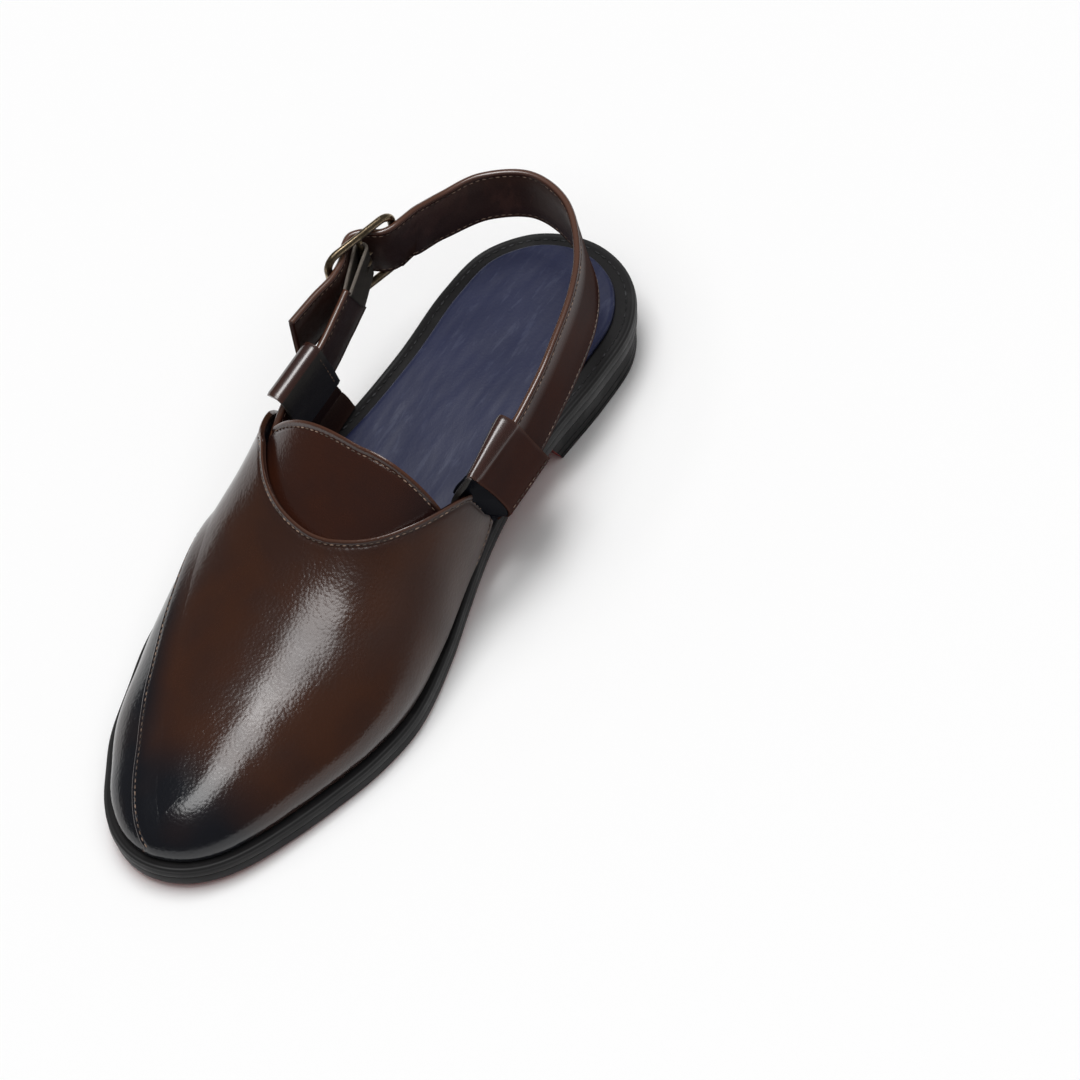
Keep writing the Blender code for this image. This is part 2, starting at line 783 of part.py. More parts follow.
def make_elastic(parts, cutters, tab_end, tab_run, tab_wide):
    """Elastic web doubled round the buckle's middle bar, its two ends at the front strap's tab."""
    tab_run = tab_run.normalized()
    side = tab_run.cross(tab_wide).normalized()
    if side.x > 0:
        side.negate()
    start = tab_end + tab_run * 2 * GAP * MM
    bend = BAR_RADIUS + GAP + ELASTIC_THICK / 2
    apart = ELASTIC_THICK / 2 + ELASTIC_SPLIT
    middle, forward, outward, _ = buckle_axes()
    ends = [start + side * apart * MM, start - side * apart * MM]
    slopes = [math.atan2(-(end - middle).dot(outward), (end - middle).dot(forward)) for end in ends]
    around = []
    turns = 8
    for step in range(turns + 1):
        angle = -slopes[0] + (math.pi + slopes[0] - slopes[1]) * step / turns
        around.append(in_buckle(-bend * math.sin(angle), bend * math.cos(angle)))
    leg = 5
    centres = [ends[0].lerp(around[0], step / leg) for step in range(leg)]
    centres += around
    centres += [around[-1].lerp(ends[1], step / leg) for step in range(1, leg + 1)]
    downward = -buckle_axes()[3]
    count = len(centres)
    wides = []
    for index in range(count):
        near_tab = max(0.0, 1 - min(index, count - 1 - index) / leg)
        wides.append(downward.lerp(tab_wide, near_tab))

    def build(work):
        ribbon(work, centres, wides, ELASTIC_WIDTH, ELASTIC_THICK, square=False)

    elastic = new_object("elastic", mesh_from("elastic", build), parts)
    slot = bpy.data.meshes.new("prong_slot")
    work = bmesh.new()
    bmesh.ops.create_cube(work, size=1.0)
    bmesh.ops.scale(work, vec=[size * MM for size in PRONG_SLOT], verts=work.verts)
    _, forward, outward, upward = buckle_axes()
    for vertex in work.verts:
        local = vertex.co.copy()
        vertex.co = in_buckle(PRONG_SLOT_AT, 0.0) + forward * local.x + upward * local.y + outward * local.z
    work.normal_update()
    work.to_mesh(slot)
    work.free()
    cut(elastic, new_object("prong_slot", slot, cutters))


# ---------------------------------------------------------------- buckle
def wire(name, collection, points, radius, closed=False, tip=1.0):
    """A round wire through `points`, as a mesh with welded caps."""
    curve = bpy.data.curves.new(name, "CURVE")
    curve.dimensions = "3D"
    curve.bevel_depth = radius * MM
    curve.bevel_resolution = 2
    curve.use_fill_caps = True
    line = curve.splines.new("POLY")
    line.points.add(len(points) - 1)
    for index, point in enumerate(points):
        line.points[index].co = (*point, 1.0)
        line.points[index].radius = 1 + (tip - 1) * ease(index / (len(points) - 1) * 2 - 1)
    line.use_cyclic_u = closed
    guide = bpy.data.objects.new(name + "_guide", curve)
    collection.objects.link(guide)
    bpy.context.view_layer.update()
    graph = bpy.context.evaluated_depsgraph_get()
    mesh = bpy.data.meshes.new_from_object(guide.evaluated_get(graph))
    mesh.name = name
    work = bmesh.new()
    work.from_mesh(mesh)
    bmesh.ops.remove_doubles(work, verts=work.verts, dist=0.005 * MM)
    bmesh.ops.recalc_face_normals(work, faces=work.faces)
    work.to_mesh(mesh)
    work.free()
    matrix = guide.matrix_world.copy()
    bpy.data.objects.remove(guide)
    shape = new_object(name, mesh, collection)
    shape.matrix_world = matrix
    return shape


def make_buckle(parts, cutters):
    """A round-cornered brass frame with a middle bar, and a prong hooked on the bar."""
    corner_steps = 5
    straight_x = BUCKLE_HALF_LENGTH - BUCKLE_CORNER
    straight_z = BUCKLE_HALF_HEIGHT - BUCKLE_CORNER
    loop = []
    for quarter, (sign_x, sign_z) in enumerate(((1, 1), (-1, 1), (-1, -1), (1, -1))):
        for step in range(corner_steps + 1):
            angle = math.pi / 2 * (quarter + step / corner_steps)
            along = sign_x * straight_x + BUCKLE_CORNER * math.cos(angle)
            up = sign_z * straight_z + BUCKLE_CORNER * math.sin(angle)
            loop.append(in_buckle(along, 0.0, up))
    frame = wire("buckle_frame", parts, loop, BUCKLE_WIRE, closed=True)
    reach = BUCKLE_HALF_HEIGHT
    bar = rod("middle_bar", cutters, in_buckle(0, 0, -reach), in_buckle(0, 0, reach), BAR_RADIUS)
    cut(frame, bar, "UNION")

    hook = BAR_RADIUS + GAP + PRONG_RADIUS
    points = []
    turns = 12
    for step in range(turns):
        angle = PRONG_LEAVES - PRONG_CURL * (1 - step / turns)
        points.append(in_buckle(-hook * math.cos(angle), hook * math.sin(angle)))
    start, tip = prong_line()
    points += [start.lerp(tip, step / 8) for step in range(9)]
    wire("buckle_prong", parts, points, PRONG_RADIUS, tip=PRONG_TIP)


# ---------------------------------------------------------------- everything
def main():
    for old in list(bpy.data.objects):
        bpy.data.objects.remove(old)
    parts = bpy.data.collections.new("peshawari_chappal")
    cutters = bpy.data.collections.new("cutters")
    for group in (parts, cutters):
        bpy.context.scene.collection.children.link(group)

    make_sole(parts, cutters)
    make_insole(parts)
    make_upper(parts)
    make_tongue(parts)
    make_loop(parts, "loop_medial", MEDIAL_LOOP)
    make_loop(parts, "loop_lateral", LATERAL_LOOP)
    make_long_strap(parts, cutters)
    tab_end, tab_run, tab_wide = make_front_strap(parts)
    make_elastic(parts, cutters, tab_end, tab_run, tab_wide)
    make_buckle(parts, cutters)


main()
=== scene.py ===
"""Peshawari chappal, the right shoe: its looks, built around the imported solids.

World frame in metres: toe towards -Y, heel towards +Y, +Z up, inner side at +X, outer side at -X.
Stations are distances in millimetres forward from the back of the heel. Sizes in tables are millimetres.
"""

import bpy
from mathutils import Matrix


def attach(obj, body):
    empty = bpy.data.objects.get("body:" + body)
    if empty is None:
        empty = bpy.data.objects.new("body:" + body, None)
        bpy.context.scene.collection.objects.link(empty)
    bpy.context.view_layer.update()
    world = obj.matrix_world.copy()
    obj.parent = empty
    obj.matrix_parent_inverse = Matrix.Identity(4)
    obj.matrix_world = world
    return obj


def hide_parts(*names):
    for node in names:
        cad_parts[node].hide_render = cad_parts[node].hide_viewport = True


bl_info = {
    "name": "Peshawari chappal",
    "version": (1, 0, 0),
    "blender": (4, 5, 0),
    "location": "View3D > Sidebar > Chappal",
    "description": "Builds a stitched leather slingback chappal around its packed solids",
    "category": "Add Mesh",
}

import math
from collections import namedtuple

import bmesh
import bpy
from bpy.props import FloatProperty, FloatVectorProperty, IntProperty, PointerProperty
from mathutils import Matrix, Vector, kdtree, noise
from mathutils.bvhtree import BVHTree

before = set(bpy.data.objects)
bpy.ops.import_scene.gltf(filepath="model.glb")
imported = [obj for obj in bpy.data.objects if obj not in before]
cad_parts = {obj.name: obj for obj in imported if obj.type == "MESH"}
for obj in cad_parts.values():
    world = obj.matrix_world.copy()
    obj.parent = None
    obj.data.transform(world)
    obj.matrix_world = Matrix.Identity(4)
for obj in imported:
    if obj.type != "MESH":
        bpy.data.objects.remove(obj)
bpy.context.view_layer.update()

MM = 0.001
# Air left between neighbouring pieces.
GAP = 0.35
LENGTH = 286.8
# The origin's station, and how far the tables' x = 0 lies from it.
MIDDLE = 143.5
SIDE_SHIFT = 1.4
# The midsole's top: at the heel, at the ball, where it drops between them, and its rise at the toe.
HEEL_SEAT = 23.8
BALL_SEAT = 9.6
SEAT_DROP = (66.0, 173.0)
SPRING_START = 197.0
TOE_SPRING = 3.4
SPRING_RUN = 90.0
OUTSOLE_THICK = 4.9
HEEL_BREAST = (70.0, 75.5)
UPPER_WALL = 2.0

Outline = namedtuple("Outline", "station lateral medial")
OUTLINE = [
    Outline(0, -1.6, -1.6),
    Outline(10, -26.3, 22.2),
    Outline(25, -35.8, 30.7),
    Outline(45, -37.6, 32.6),
    Outline(77, -35.9, 32.1),
    Outline(100, -37.9, 32.5),
    Outline(120, -42.0, 35.2),
    Outline(140, -45.6, 40.3),
    Outline(160, -48.5, 46.2),
    Outline(190, -52.4, 52.4),
    Outline(210, -49.6, 51.0),
    Outline(230, -43.2, 46.3),
    Outline(250, -35.8, 40.3),
    Outline(262, -28.6, 35.8),
    Outline(272, -21.8, 30.4),
    Outline(280, -13.6, 23.3),
    Outline(LENGTH, 5.0, 5.0),
]
PAD_REAR = 144.0
PAD_LENGTH = 129.0
PAD_THICK = 1.3
PAD_GROOVE = 1.4
PAD = [
    Outline(0, -1.0, -1.0),
    Outline(6, -20.0, 19.0),
    Outline(18, -31.5, 31.0),
    Outline(34, -38.5, 38.5),
    Outline(50, -40.6, 41.0),
    Outline(70, -37.0, 39.0),
    Outline(90, -29.5, 33.5),
    Outline(106, -22.0, 27.0),
    Outline(120, -11.5, 18.5),
    Outline(PAD_LENGTH, 4.0, 4.0),
]

# The last: a section's foot is drawn in from the outline by `tuck`; its top is at `ridge_at`,
# `ridge_x`, `ridge_z`; its walls swell by `lateral` and `medial`; `full` squares its shoulder.
Section = namedtuple("Section", "station tuck ridge_at ridge_x ridge_z lateral medial full")
LAST = [
    Section(100, 1.6, 103, 0.0, 96.0, 9.0, 5.5, 2.6),
    Section(130, 1.6, 132, 2.0, 82.0, 7.4, 6.5, 2.6),
    Section(145, 2.0, 148, 4.0, 69.0, 5.9, 5.0, 2.5),
    Section(165, 2.8, 166, 5.0, 55.0, 6.2, 4.0, 2.3),
    Section(190, 3.4, 189, 5.0, 45.5, 2.0, 3.2, 2.15),
    Section(215, 3.6, 211, 5.6, 40.0, 0.9, 2.8, 2.1),
    Section(240, 3.6, 232, 7.6, 36.2, 1.4, 2.2, 2.2),
    Section(262, 3.6, 249, 10.6, 32.6, 1.0, 1.6, 2.35),
    Section(276, 3.6, 259, 12.0, 30.4, 0.9, 1.2, 2.4),
    Section(LENGTH, 3.6, 266, 10.0, 28.8, 0.8, 0.8, 2.4),
]

# The vamp's rear edge, from -1 at the lateral foot over 0 at the ridge to 1 at the medial foot.
Edge = namedtuple("Edge", "across station")
LATERAL_REAR = [Edge(-1.0, 136), Edge(-0.97, 126), Edge(-0.93, 121), Edge(-0.84, 124.5), Edge(-0.74, 130)]
THROAT = [
    Edge(-0.74, 130),
    Edge(-0.62, 139.2),
    Edge(-0.52, 143.8),
    Edge(-0.44, 149.5),
    Edge(-0.355, 155.3),
    Edge(-0.26, 160.2),
    Edge(-0.14, 164.0),
    Edge(-0.04, 165.2),
    Edge(0.07, 162.8),
    Edge(0.225, 157.2),
    Edge(0.35, 150.9),
    Edge(0.475, 143.6),
    Edge(0.57, 136.9),
    Edge(0.70, 126),
]
MEDIAL_REAR = [Edge(0.70, 126), Edge(0.84, 121.5), Edge(0.93, 117.5), Edge(0.97, 122), Edge(1.0, 133)]
TONGUE_TOP = [
    Edge(-0.565, 138.3),
    Edge(-0.40, 137.3),
    Edge(0.0, 136.8),
    Edge(0.35, 137.0),
    Edge(0.64, 137.2),
]
TONGUE_UNDERLAP = 9.0

# Where the inner panel laps over the outer one, from the outer flank to the toe.
LAP = [
    Edge(-0.90, 152),
    Edge(-0.84, 165),
    Edge(-0.765, 178),
    Edge(-0.71, 190),
    Edge(-0.647, 205),
    Edge(-0.58, 222.8),
    Edge(-0.527, 235.3),
    Edge(-0.47, 250.7),
    Edge(-0.453, 265.2),
    Edge(-0.46, 276.5),
    Edge(-0.495, 282.1),
    Edge(-0.562, 285.3),
    Edge(-0.69, 286.7),
    Edge(-0.97, 286.79),
]

Fold = namedtuple("Fold", "x height rear front skew")
MEDIAL_LOOP = [
    Fold(31.0, 0.0, 86.0, 115.0, 0.0),
    Fold(39.0, 29.0, 88.0, 116.0, 0.0),
    Fold(45.6, 37.0, 91.5, 117.0, 0.0),
    Fold(47.2, 45.0, 94.5, 118.5, 0.0),
    Fold(45.6, 56.0, 97.5, 121.5, 0.0),
    Fold(43.9, 64.5, 99.5, 124.5, 0.2),
    Fold(42.8, 67.4, 100.2, 125.4, 1.0),
    Fold(40.2, 69.4, 100.6, 126.0, 2.2),
    Fold(36.4, 69.6, 101.0, 126.3, 3.6),
    Fold(33.7, 64.5, 101.2, 128.0, 4.0),
    Fold(33.4, 56.0, 101.5, 131.0, 0.2),
    Fold(33.2, 45.0, 102.0, 134.0, 1.6),
]
LATERAL_LOOP = [
    Fold(-37.0, 0.0, 99.0, 117.0, 0.0),
    Fold(-41.8, 26.0, 99.5, 117.5, 0.0),
    Fold(-46.2, 35.0, 101.5, 117.5, 0.0),
    Fold(-47.1, 44.0, 103.5, 119.0, 0.0),
    Fold(-46.1, 54.0, 105.5, 125.0, 0.0),
    Fold(-45.2, 60.5, 106.6, 129.0, 0.0),
    Fold(-44.2, 63.9, 107.0, 130.5, 0.0),
    Fold(-41.5, 65.8, 107.2, 131.0, 0.0),
    Fold(-37.7, 65.0, 107.2, 131.0, 0.0),
    Fold(-35.5, 60.5, 107.0, 130.5, 0.0),
    Fold(-34.9, 52.0, 105.5, 129.5, 0.0),
    Fold(-34.7, 43.0, 104.0, 129.0, 0.0),
]
LOOP_PITCH = 0.12

# A strap's upper edge; `lean` is how far its lower edge stands outwards, in degrees.
Route = namedtuple("Route", "x station top lean")
LONG_STRAP = [
    Route(40.4, 117.0, 63.0, 8.0),
    Route(38.9, 100.0, 64.2, 11.0),
    Route(36.8, 81.6, 67.4, 11.0),
    Route(33.5, 67.4, 68.7, 13.0),
    Route(26.0, 44.7, 68.5, 14.0),
    Route(15.5, 26.6, 66.1, 9.0),
    Route(0.3, 11.9, 65.3, -4.0),
    Route(-17.5, 8.3, 65.0, -8.0),
    Route(-32.5, 17.6, 65.0, -7.0),
    Route(-39.0, 31.9, 66.5, -2.0),
    Route(-41.2, 43.0, 70.2, 0.0),
]
Pass = namedtuple("Pass", "along out")
STRAP_IN_BUCKLE = [
    Pass(-14.7, -3.5),
    Pass(-8.6, -1.9),
    Pass(-3.2, 3.6),
    Pass(0.0, 4.9),
    Pass(3.2, 3.8),
    Pass(8.6, -0.7),
    Pass(14.7, -3.6),
    Pass(26.0, -5.6),
    Pass(39.0, -8.4),
]
FRONT_STRAP = [
    Route(-40.0, 138.5, 47.2, 6.0),
    Route(-39.9, 133.5, 52.5, 5.0),
    Route(-40.0, 127.5, 56.8, 4.0),
    Route(-40.2, 119.0, 60.4, 3.0),
    Route(-40.3, 105.0, 62.4, 2.0),
    Route(-41.4, 93.0, 66.3, 1.0),
    Route(-42.4, 84.0, 69.6, 0.0),
]
BUCKLE_MIDDLE = (-48.7, 66.7, 61.0)
BUCKLE_FORWARD = (-5.6, 24.5, 0.6)
BUCKLE_HALF_LENGTH = 14.7
BUCKLE_HALF_HEIGHT = 13.9
BUCKLE_CORNER = 4.8
BUCKLE_WIRE = 1.5
BAR_RADIUS = 1.2
PRONG_RADIUS = 0.8
# How deep the groove is that a strap's stitches lie in, and how proud stitches stand on the upper.
STITCH_GROOVE = 0.22
STITCH_LIFT = 0.02


# ---------------------------------------------------------------- sizes and colours to change
class ChappalSizes(bpy.types.PropertyGroup):
    strap_width: FloatProperty(
        name="Strap width", description="Width of the slingback strap", default=0.023, unit="LENGTH"
    )
    strap_thick: FloatProperty(
        name="Strap thickness", description="Two plies of leather", default=0.0028, unit="LENGTH"
    )
    tab_width: FloatProperty(
        name="Tab width", description="Width of the short front strap", default=0.021, unit="LENGTH"
    )
    elastic_width: FloatProperty(
        name="Elastic width", description="Width of the elastic web", default=0.017, unit="LENGTH"
    )
    stitch_pitch: FloatProperty(
        name="Stitch pitch", description="Distance from stitch to stitch", default=0.0024, unit="LENGTH"
    )
    stitch_inset: FloatProperty(
        name="Stitch inset", description="Distance of a seam from its edge", default=0.002, unit="LENGTH"
    )
    rim_height: FloatProperty(
        name="Rim height", description="How proud a turned edge stands", default=0.0005, unit="LENGTH"
    )
    edge_steps: IntProperty(name="Throat steps", description="Columns round the throat", default=92, min=20)


def colour(name, description, default):
    return FloatVectorProperty(
        name=name, description=description, subtype="COLOR", size=3, min=0.0, max=1.0, default=default
    )


class ChappalColours(bpy.types.PropertyGroup):
    leather: colour("Leather", "Middle brown of the vamp", (0.041, 0.0140, 0.0066))
    # Also the colour of the painted shade in the loops' tucks.
    leather_dark: colour("Leather, dark", "Burnished parts of the vamp", (0.0052, 0.0058, 0.0086))
    strap: colour("Strap", "Outer leather of the straps and loops", (0.038, 0.0122, 0.0080))
    tongue: colour("Tongue", "Brown of the tongue", (0.036, 0.0105, 0.0052))
    # Also the colour of the painted highlight along turned and cut leather edges.
    edge: colour("Rubbed edge", "Brown of rubbed leather edges", (0.115, 0.050, 0.030))
    lining: colour("Lining", "Inner faces of the straps and loops", (0.036, 0.0155, 0.0115))
    lining_dark: colour("Dark lining", "Inner plies of the loops", (0.021, 0.019, 0.0175))
    thread: colour("Thread", "Stitches on the upper", (0.20, 0.135, 0.10))
    insole: colour("Insole", "Navy sock", (0.020, 0.024, 0.062))
    welt: colour("Welt", "Black welt and heel", (0.016, 0.0155, 0.016))
    sole: colour("Sole", "Red underside", (0.290, 0.020, 0.013))
    tread: colour("Tread", "Dark pad under the forefoot", (0.016, 0.0125, 0.0105))
    brass: colour("Brass", "Antique buckle", (0.330, 0.255, 0.165))
    elastic: colour("Elastic", "Ribbed web", (0.15, 0.13, 0.11))
    floor: colour("Floor", "Pale floor", (0.93, 0.93, 0.93))


# ---------------------------------------------------------------- curves and the last
def curve_value(keys, values, key):
    """Smooth curve through the points of a short table, read at `key`."""
    count = len(keys)
    index = max(0, min(count - 2, sum(1 for known in keys if known <= key) - 1))

    def slope(at):
        if at == 0:
            return (values[1] - values[0]) / (keys[1] - keys[0])
        if at == count - 1:
            return (values[-1] - values[-2]) / (keys[-1] - keys[-2])
        before = keys[at] - keys[at - 1]
        after = keys[at + 1] - keys[at]
        rise_before = (values[at] - values[at - 1]) / before
        rise_after = (values[at + 1] - values[at]) / after
        return (rise_before * after + rise_after * before) / (before + after)

    span = keys[index + 1] - keys[index]
    part = (key - keys[index]) / span
    start = values[index] * (1 + 2 * part) * (1 - part) ** 2
    end = values[index + 1] * part * part * (3 - 2 * part)
    leave = slope(index) * part * (1 - part) ** 2
    arrive = slope(index + 1) * part * part * (1 - part)
    return start + end + span * (leave - arrive)


def column(rows, name):
    return [getattr(row, name) for row in rows]


def ease(part):
    part = max(0.0, min(1.0, part))
    return part * part * (3 - 2 * part)


def mix(start, end, part):
    return start + (end - start) * part


def turn_of(station, length=LENGTH):
    """Half-turn share of a station: equal steps of it crowd together at the round heel and toe."""
    return math.acos(max(-1.0, min(1.0, 1 - 2 * station / length))) / math.pi


def station_of(turn, length=LENGTH):
    return length * (1 - math.cos(math.pi * turn)) / 2


def outline_point(rows, side, turn, inset=0.0):
    """(x, station, normal x, normal station) on one side of an outline, drawn in by `inset`."""
    length = rows[-1].station
    keys = [turn_of(row.station, length) for row in rows]
    widths = column(rows, "medial" if side > 0 else "lateral")
    near = 0.001

    def at(share):
        return curve_value(keys, widths, share), station_of(share, length)

    before = at(max(0.0, turn - near))
    after = at(min(1.0, turn + near))
    run_x = after[0] - before[0]
    run_station = after[1] - before[1]
    if turn < near:
        run_x, run_station = side, 0.0
    if turn > 1 - near:
        run_x, run_station = -side, 0.0
    size = math.hypot(run_x, run_station)
    normal_x = side * run_station / size
    normal_station = -side * run_x / size
    x, station = at(turn)
    return x - inset * normal_x, station - inset * normal_station, normal_x, normal_station


def seat_height(station):
    """Top of the midsole: high at the heel, down through the waist, then up at the toe."""
    start, end = SEAT_DROP
    drop = (HEEL_SEAT - BALL_SEAT) * ease((station - start) / (end - start))
    spring = TOE_SPRING * max(0.0, (station - SPRING_START) / SPRING_RUN) ** 2
    return HEEL_SEAT - drop + spring


def sole_under(station):
    return seat_height(station) - BALL_SEAT


def place(x, station, height):
    return Vector(((x + SIDE_SHIFT) * MM, (MIDDLE - station) * MM, height * MM))


SECTION_CACHE = {}


def section_at(turn):
    """The last's section and its foot on each side, for one share of the length."""
    key = round(turn, 7)
    if key not in SECTION_CACHE:
        keys = [turn_of(row.station) for row in LAST]
        values = {
            name: curve_value(keys, column(LAST, name), turn)
            for name in ("tuck", "ridge_at", "ridge_x", "ridge_z", "full", "lateral", "medial")
        }
        ends = [max(0.0, turn - 0.004), min(1.0, turn + 0.004)]
        rises = [curve_value(keys, column(LAST, "ridge_z"), end) for end in ends]
        runs = [curve_value(keys, column(LAST, "ridge_at"), end) for end in ends]
        values["slope"] = (rises[1] - rises[0]) / (runs[1] - runs[0])
        feet = {side: outline_point(OUTLINE, side, turn, values["tuck"]) for side in (-1, 1)}
        SECTION_CACHE[key] = (values, feet)
    return SECTION_CACHE[key]


def last_point(station, across):
    """Point of the upper's outer face, in millimetres, as (x, station, height)."""
    side = 1 if across >= 0 else -1
    values, feet = section_at(turn_of(station))
    swell = values["medial" if side > 0 else "lateral"]
    foot_x, foot_at, out_x, out_at = feet[side]
    foot_z = seat_height(foot_at) + GAP
    angle = (1 - abs(across)) * math.pi / 2
    inward = 1 - max(0.0, math.cos(angle)) ** (2 / values["full"])
    upward = max(0.0, math.sin(angle)) ** (2 / values["full"])
    bulge = swell * math.sin(math.pi * min(1.0, upward) ** 0.8)
    at = foot_at + (values["ridge_at"] - foot_at) * inward + out_at * bulge
    top_z = values["ridge_z"] + values["slope"] * (at - values["ridge_at"])
    return (
        foot_x + (values["ridge_x"] - foot_x) * inward + out_x * bulge,
        at,
        foot_z + (top_z - foot_z) * upward,
    )


def last_normal(station, across):
    step = 0.01
    fore = place(*last_point(min(station + 1.0, LENGTH), across))
    aft = place(*last_point(station - 1.0, across))
    left = place(*last_point(station, max(-1.0, across - step)))
    right = place(*last_point(station, min(1.0, across + step)))
    here = place(*last_point(station, across))
    outward = (right - left).cross(fore - aft).normalized()
    if outward.dot(here - Vector((0.0, here.y, 0.0))) < 0:
        outward.negate()
    return outward


def run_across(rows, steps):
    """Evenly spaced places along one run of edge rows, as (across, station)."""
    keys = column(rows, "across")
    stations = column(rows, "station")
    places = []
    for step in range(steps + 1):
        across = mix(keys[0], keys[-1], step / steps)
        places.append(Edge(across, curve_value(keys, stations, across)))
    return places


def table_steps(rows, names, steps):
    """Rows read evenly along a short table, `steps` from each row to the next."""
    keys = list(range(len(rows)))
    columns = [column(rows, name) for name in names]
    found = []
    for step in range(steps * (len(rows) - 1) + 1):
        key = step / steps
        found.append([curve_value(keys, values, key) for values in columns])
    return found


# ---------------------------------------------------------------- mesh makers
def mesh_of(work, name):
    mesh = bpy.data.meshes.new(name)
    work.to_mesh(mesh)
    work.free()
    return mesh


def finish_mesh(work, name, materials):
    """The bmesh as a smooth object at the origin, riding on the root body."""
    mesh = mesh_of(work, name)
    shape = bpy.data.objects.new(name, mesh)
    bpy.context.scene.collection.objects.link(shape)
    for material in materials:
        mesh.materials.append(material)
    mesh.shade_smooth()
    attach(shape, "root")
    return shape


def grid_surface(columns, rows, where, turn=False):
    """A bmesh grid whose vertex in column i and row j stands at where(i, j), with a UV from 0 to 1.
    Its faces look the other way where `turn` is set."""
    work = bmesh.new()
    work.loops.layers.uv.new("UVMap")
    bmesh.ops.create_grid(work, x_segments=columns, y_segments=rows, size=1.0, calc_uvs=True)
    index = work.verts.layers.int.new("column")
    index_row = work.verts.layers.int.new("row")
    for vertex in work.verts:
        vertex[index] = round((vertex.co.x + 1) / 2 * columns)
        vertex[index_row] = round((vertex.co.y + 1) / 2 * rows)
        vertex.co = where(vertex[index], vertex[index_row])
    if turn:
        bmesh.ops.reverse_faces(work, faces=work.faces)
    return work


def close_up(work, near):
    """Joins vertices less than `near` millimetres apart, fills the open ends and turns faces outwards."""
    bmesh.ops.remove_doubles(work, verts=work.verts, dist=near * MM)
    bmesh.ops.holes_fill(work, edges=[edge for edge in work.edges if edge.is_boundary])
    bmesh.ops.recalc_face_normals(work, faces=work.faces)


def split_caps(work):
    bmesh.ops.triangulate(work, faces=[face for face in work.faces if len(face.verts) > 4])


def face_towards(work, way):
    """Turns an open sheet's faces alike, so that most of them look along `way`."""
    bmesh.ops.recalc_face_normals(work, faces=work.faces)
    if sum(face.normal.dot(way) for face in work.faces) < 0:
        bmesh.ops.reverse_faces(work, faces=work.faces)


def wall(shape, thickness, inner=0):
    """Leather thickness behind the outer face; `inner` steps on to the material of its inside."""
    solid = shape.modifiers.new("wall", "SOLIDIFY")
    solid.thickness = thickness * MM
    solid.offset = -1.0
    solid.use_even_offset = False
    solid.material_offset = inner


def soften(shape, width):
    """Rounds the edges that a wall leaves sharp."""
    bevel = shape.modifiers.new("softened edges", "BEVEL")
    bevel.width = width * MM
    bevel.segments = 2
    bevel.limit_method = "ANGLE"
    bevel.angle_limit = math.radians(40)
    bevel.harden_normals = False


def frames_along(points, wides, closed=False):
    """(point, along, wide, thick) at each point of a path; `wides` gives the width's direction."""
    count = len(points)
    found = []
    for index, point in enumerate(points):
        before = points[index - 1] if closed or index else points[0]
        after = points[(index + 1) % count] if closed or index < count - 1 else points[-1]
        along = (after - before).normalized()
        wide = wides[index]
        wide = (wide - along * wide.dot(along)).normalized()
        found.append((point, along, wide, along.cross(wide).normalized()))
    return found


def sweep(frames, profile, closed=False):
    """A bmesh tube: profile(i, share) gives (wide, thick) offsets in millimetres round each frame."""
    around = profile.steps
    rows = len(frames) if closed else len(frames) - 1

    def where(i, j):
        point, _, wide, thick = frames[j % len(frames)]
        across, deep = profile(i % around, j / rows)
        return point + (wide * across + thick * deep) * MM

    work = grid_surface(around, rows, where)
    close_up(work, 0.004)
    return work


class Band:
    """Section of a flat strap: two plies, round edges and a shallow stitch groove on each face."""

    def __init__(self, width, thick, groove=1.9, groove_half=0.45, crown=0.12, edge=6):
        half, deep = width / 2, thick / 2
        rounding = deep * 0.95
        seam = half - groove
        flats = [half - rounding - 0.02, seam + groove_half, seam, seam - groove_half, half * 0.35]
        face = []
        for offset in flats:
            dip = STITCH_GROOVE if offset == seam else 0.0
            face.append((offset, deep - dip + crown * (1 - (offset / half) ** 2) - crown))
        face += [(-offset, level) for offset, level in reversed(face)]
        turn = []
        for step in range(1, edge):
            angle = math.pi * step / edge
            turn.append((-(half - rounding) - rounding * math.sin(angle), deep * math.cos(angle)))
        self.points = face + turn + [(-x, -y) for x, y in face] + [(-x, -y) for x, y in turn]
        self.face = len(face)
        self.steps = len(self.points)

    def __call__(self, index, share):
        return self.points[index]


class Ribbed:
    """Section of an elastic web, with thin edges and ribs on both faces."""

    def __init__(self, width, thick, ribs=24, relief=0.09):
        self.half = width / 2
        self.thick = thick
        self.ribs = ribs
        self.relief = relief
        self.steps = 2 * ribs

    def __call__(self, index, share):
        face = 1 if index < self.ribs else -1
        part = (index % self.ribs) / (self.ribs - 1)
        across = mix(-self.half, self.half, part) * face
        ridge = self.relief * math.cos(math.pi * part * (self.ribs - 1))
        edge = 0.25 if part in (0.0, 1.0) else 1.0
        return across, -face * (self.thick / 2 * edge + ridge)


class Round:
    """Section of a wire, possibly flattened or tapered."""

    def __init__(self, wide, thick, steps, taper=None):
        self.steps = steps
        self.wide = wide
        self.thick = thick
        self.taper = taper

    def __call__(self, index, share):
        angle = 2 * math.pi * index / self.steps
        size = self.taper(share) if self.taper else 1.0
        return self.wide * size * math.cos(angle), self.thick * size * math.sin(angle)


def walk(points, pitch, start=0.5):
    """Places at equal distances along a polyline, as (point, direction)."""
    found = []
    due = pitch * start
    for before, after in zip(points[:-1], points[1:]):
        span = (after - before).length
        if span < 1e-9:
            continue
        while due <= span:
            found.append((before.lerp(after, due / span), (after - before) / span))
            due += pitch
        due -= span
    return found


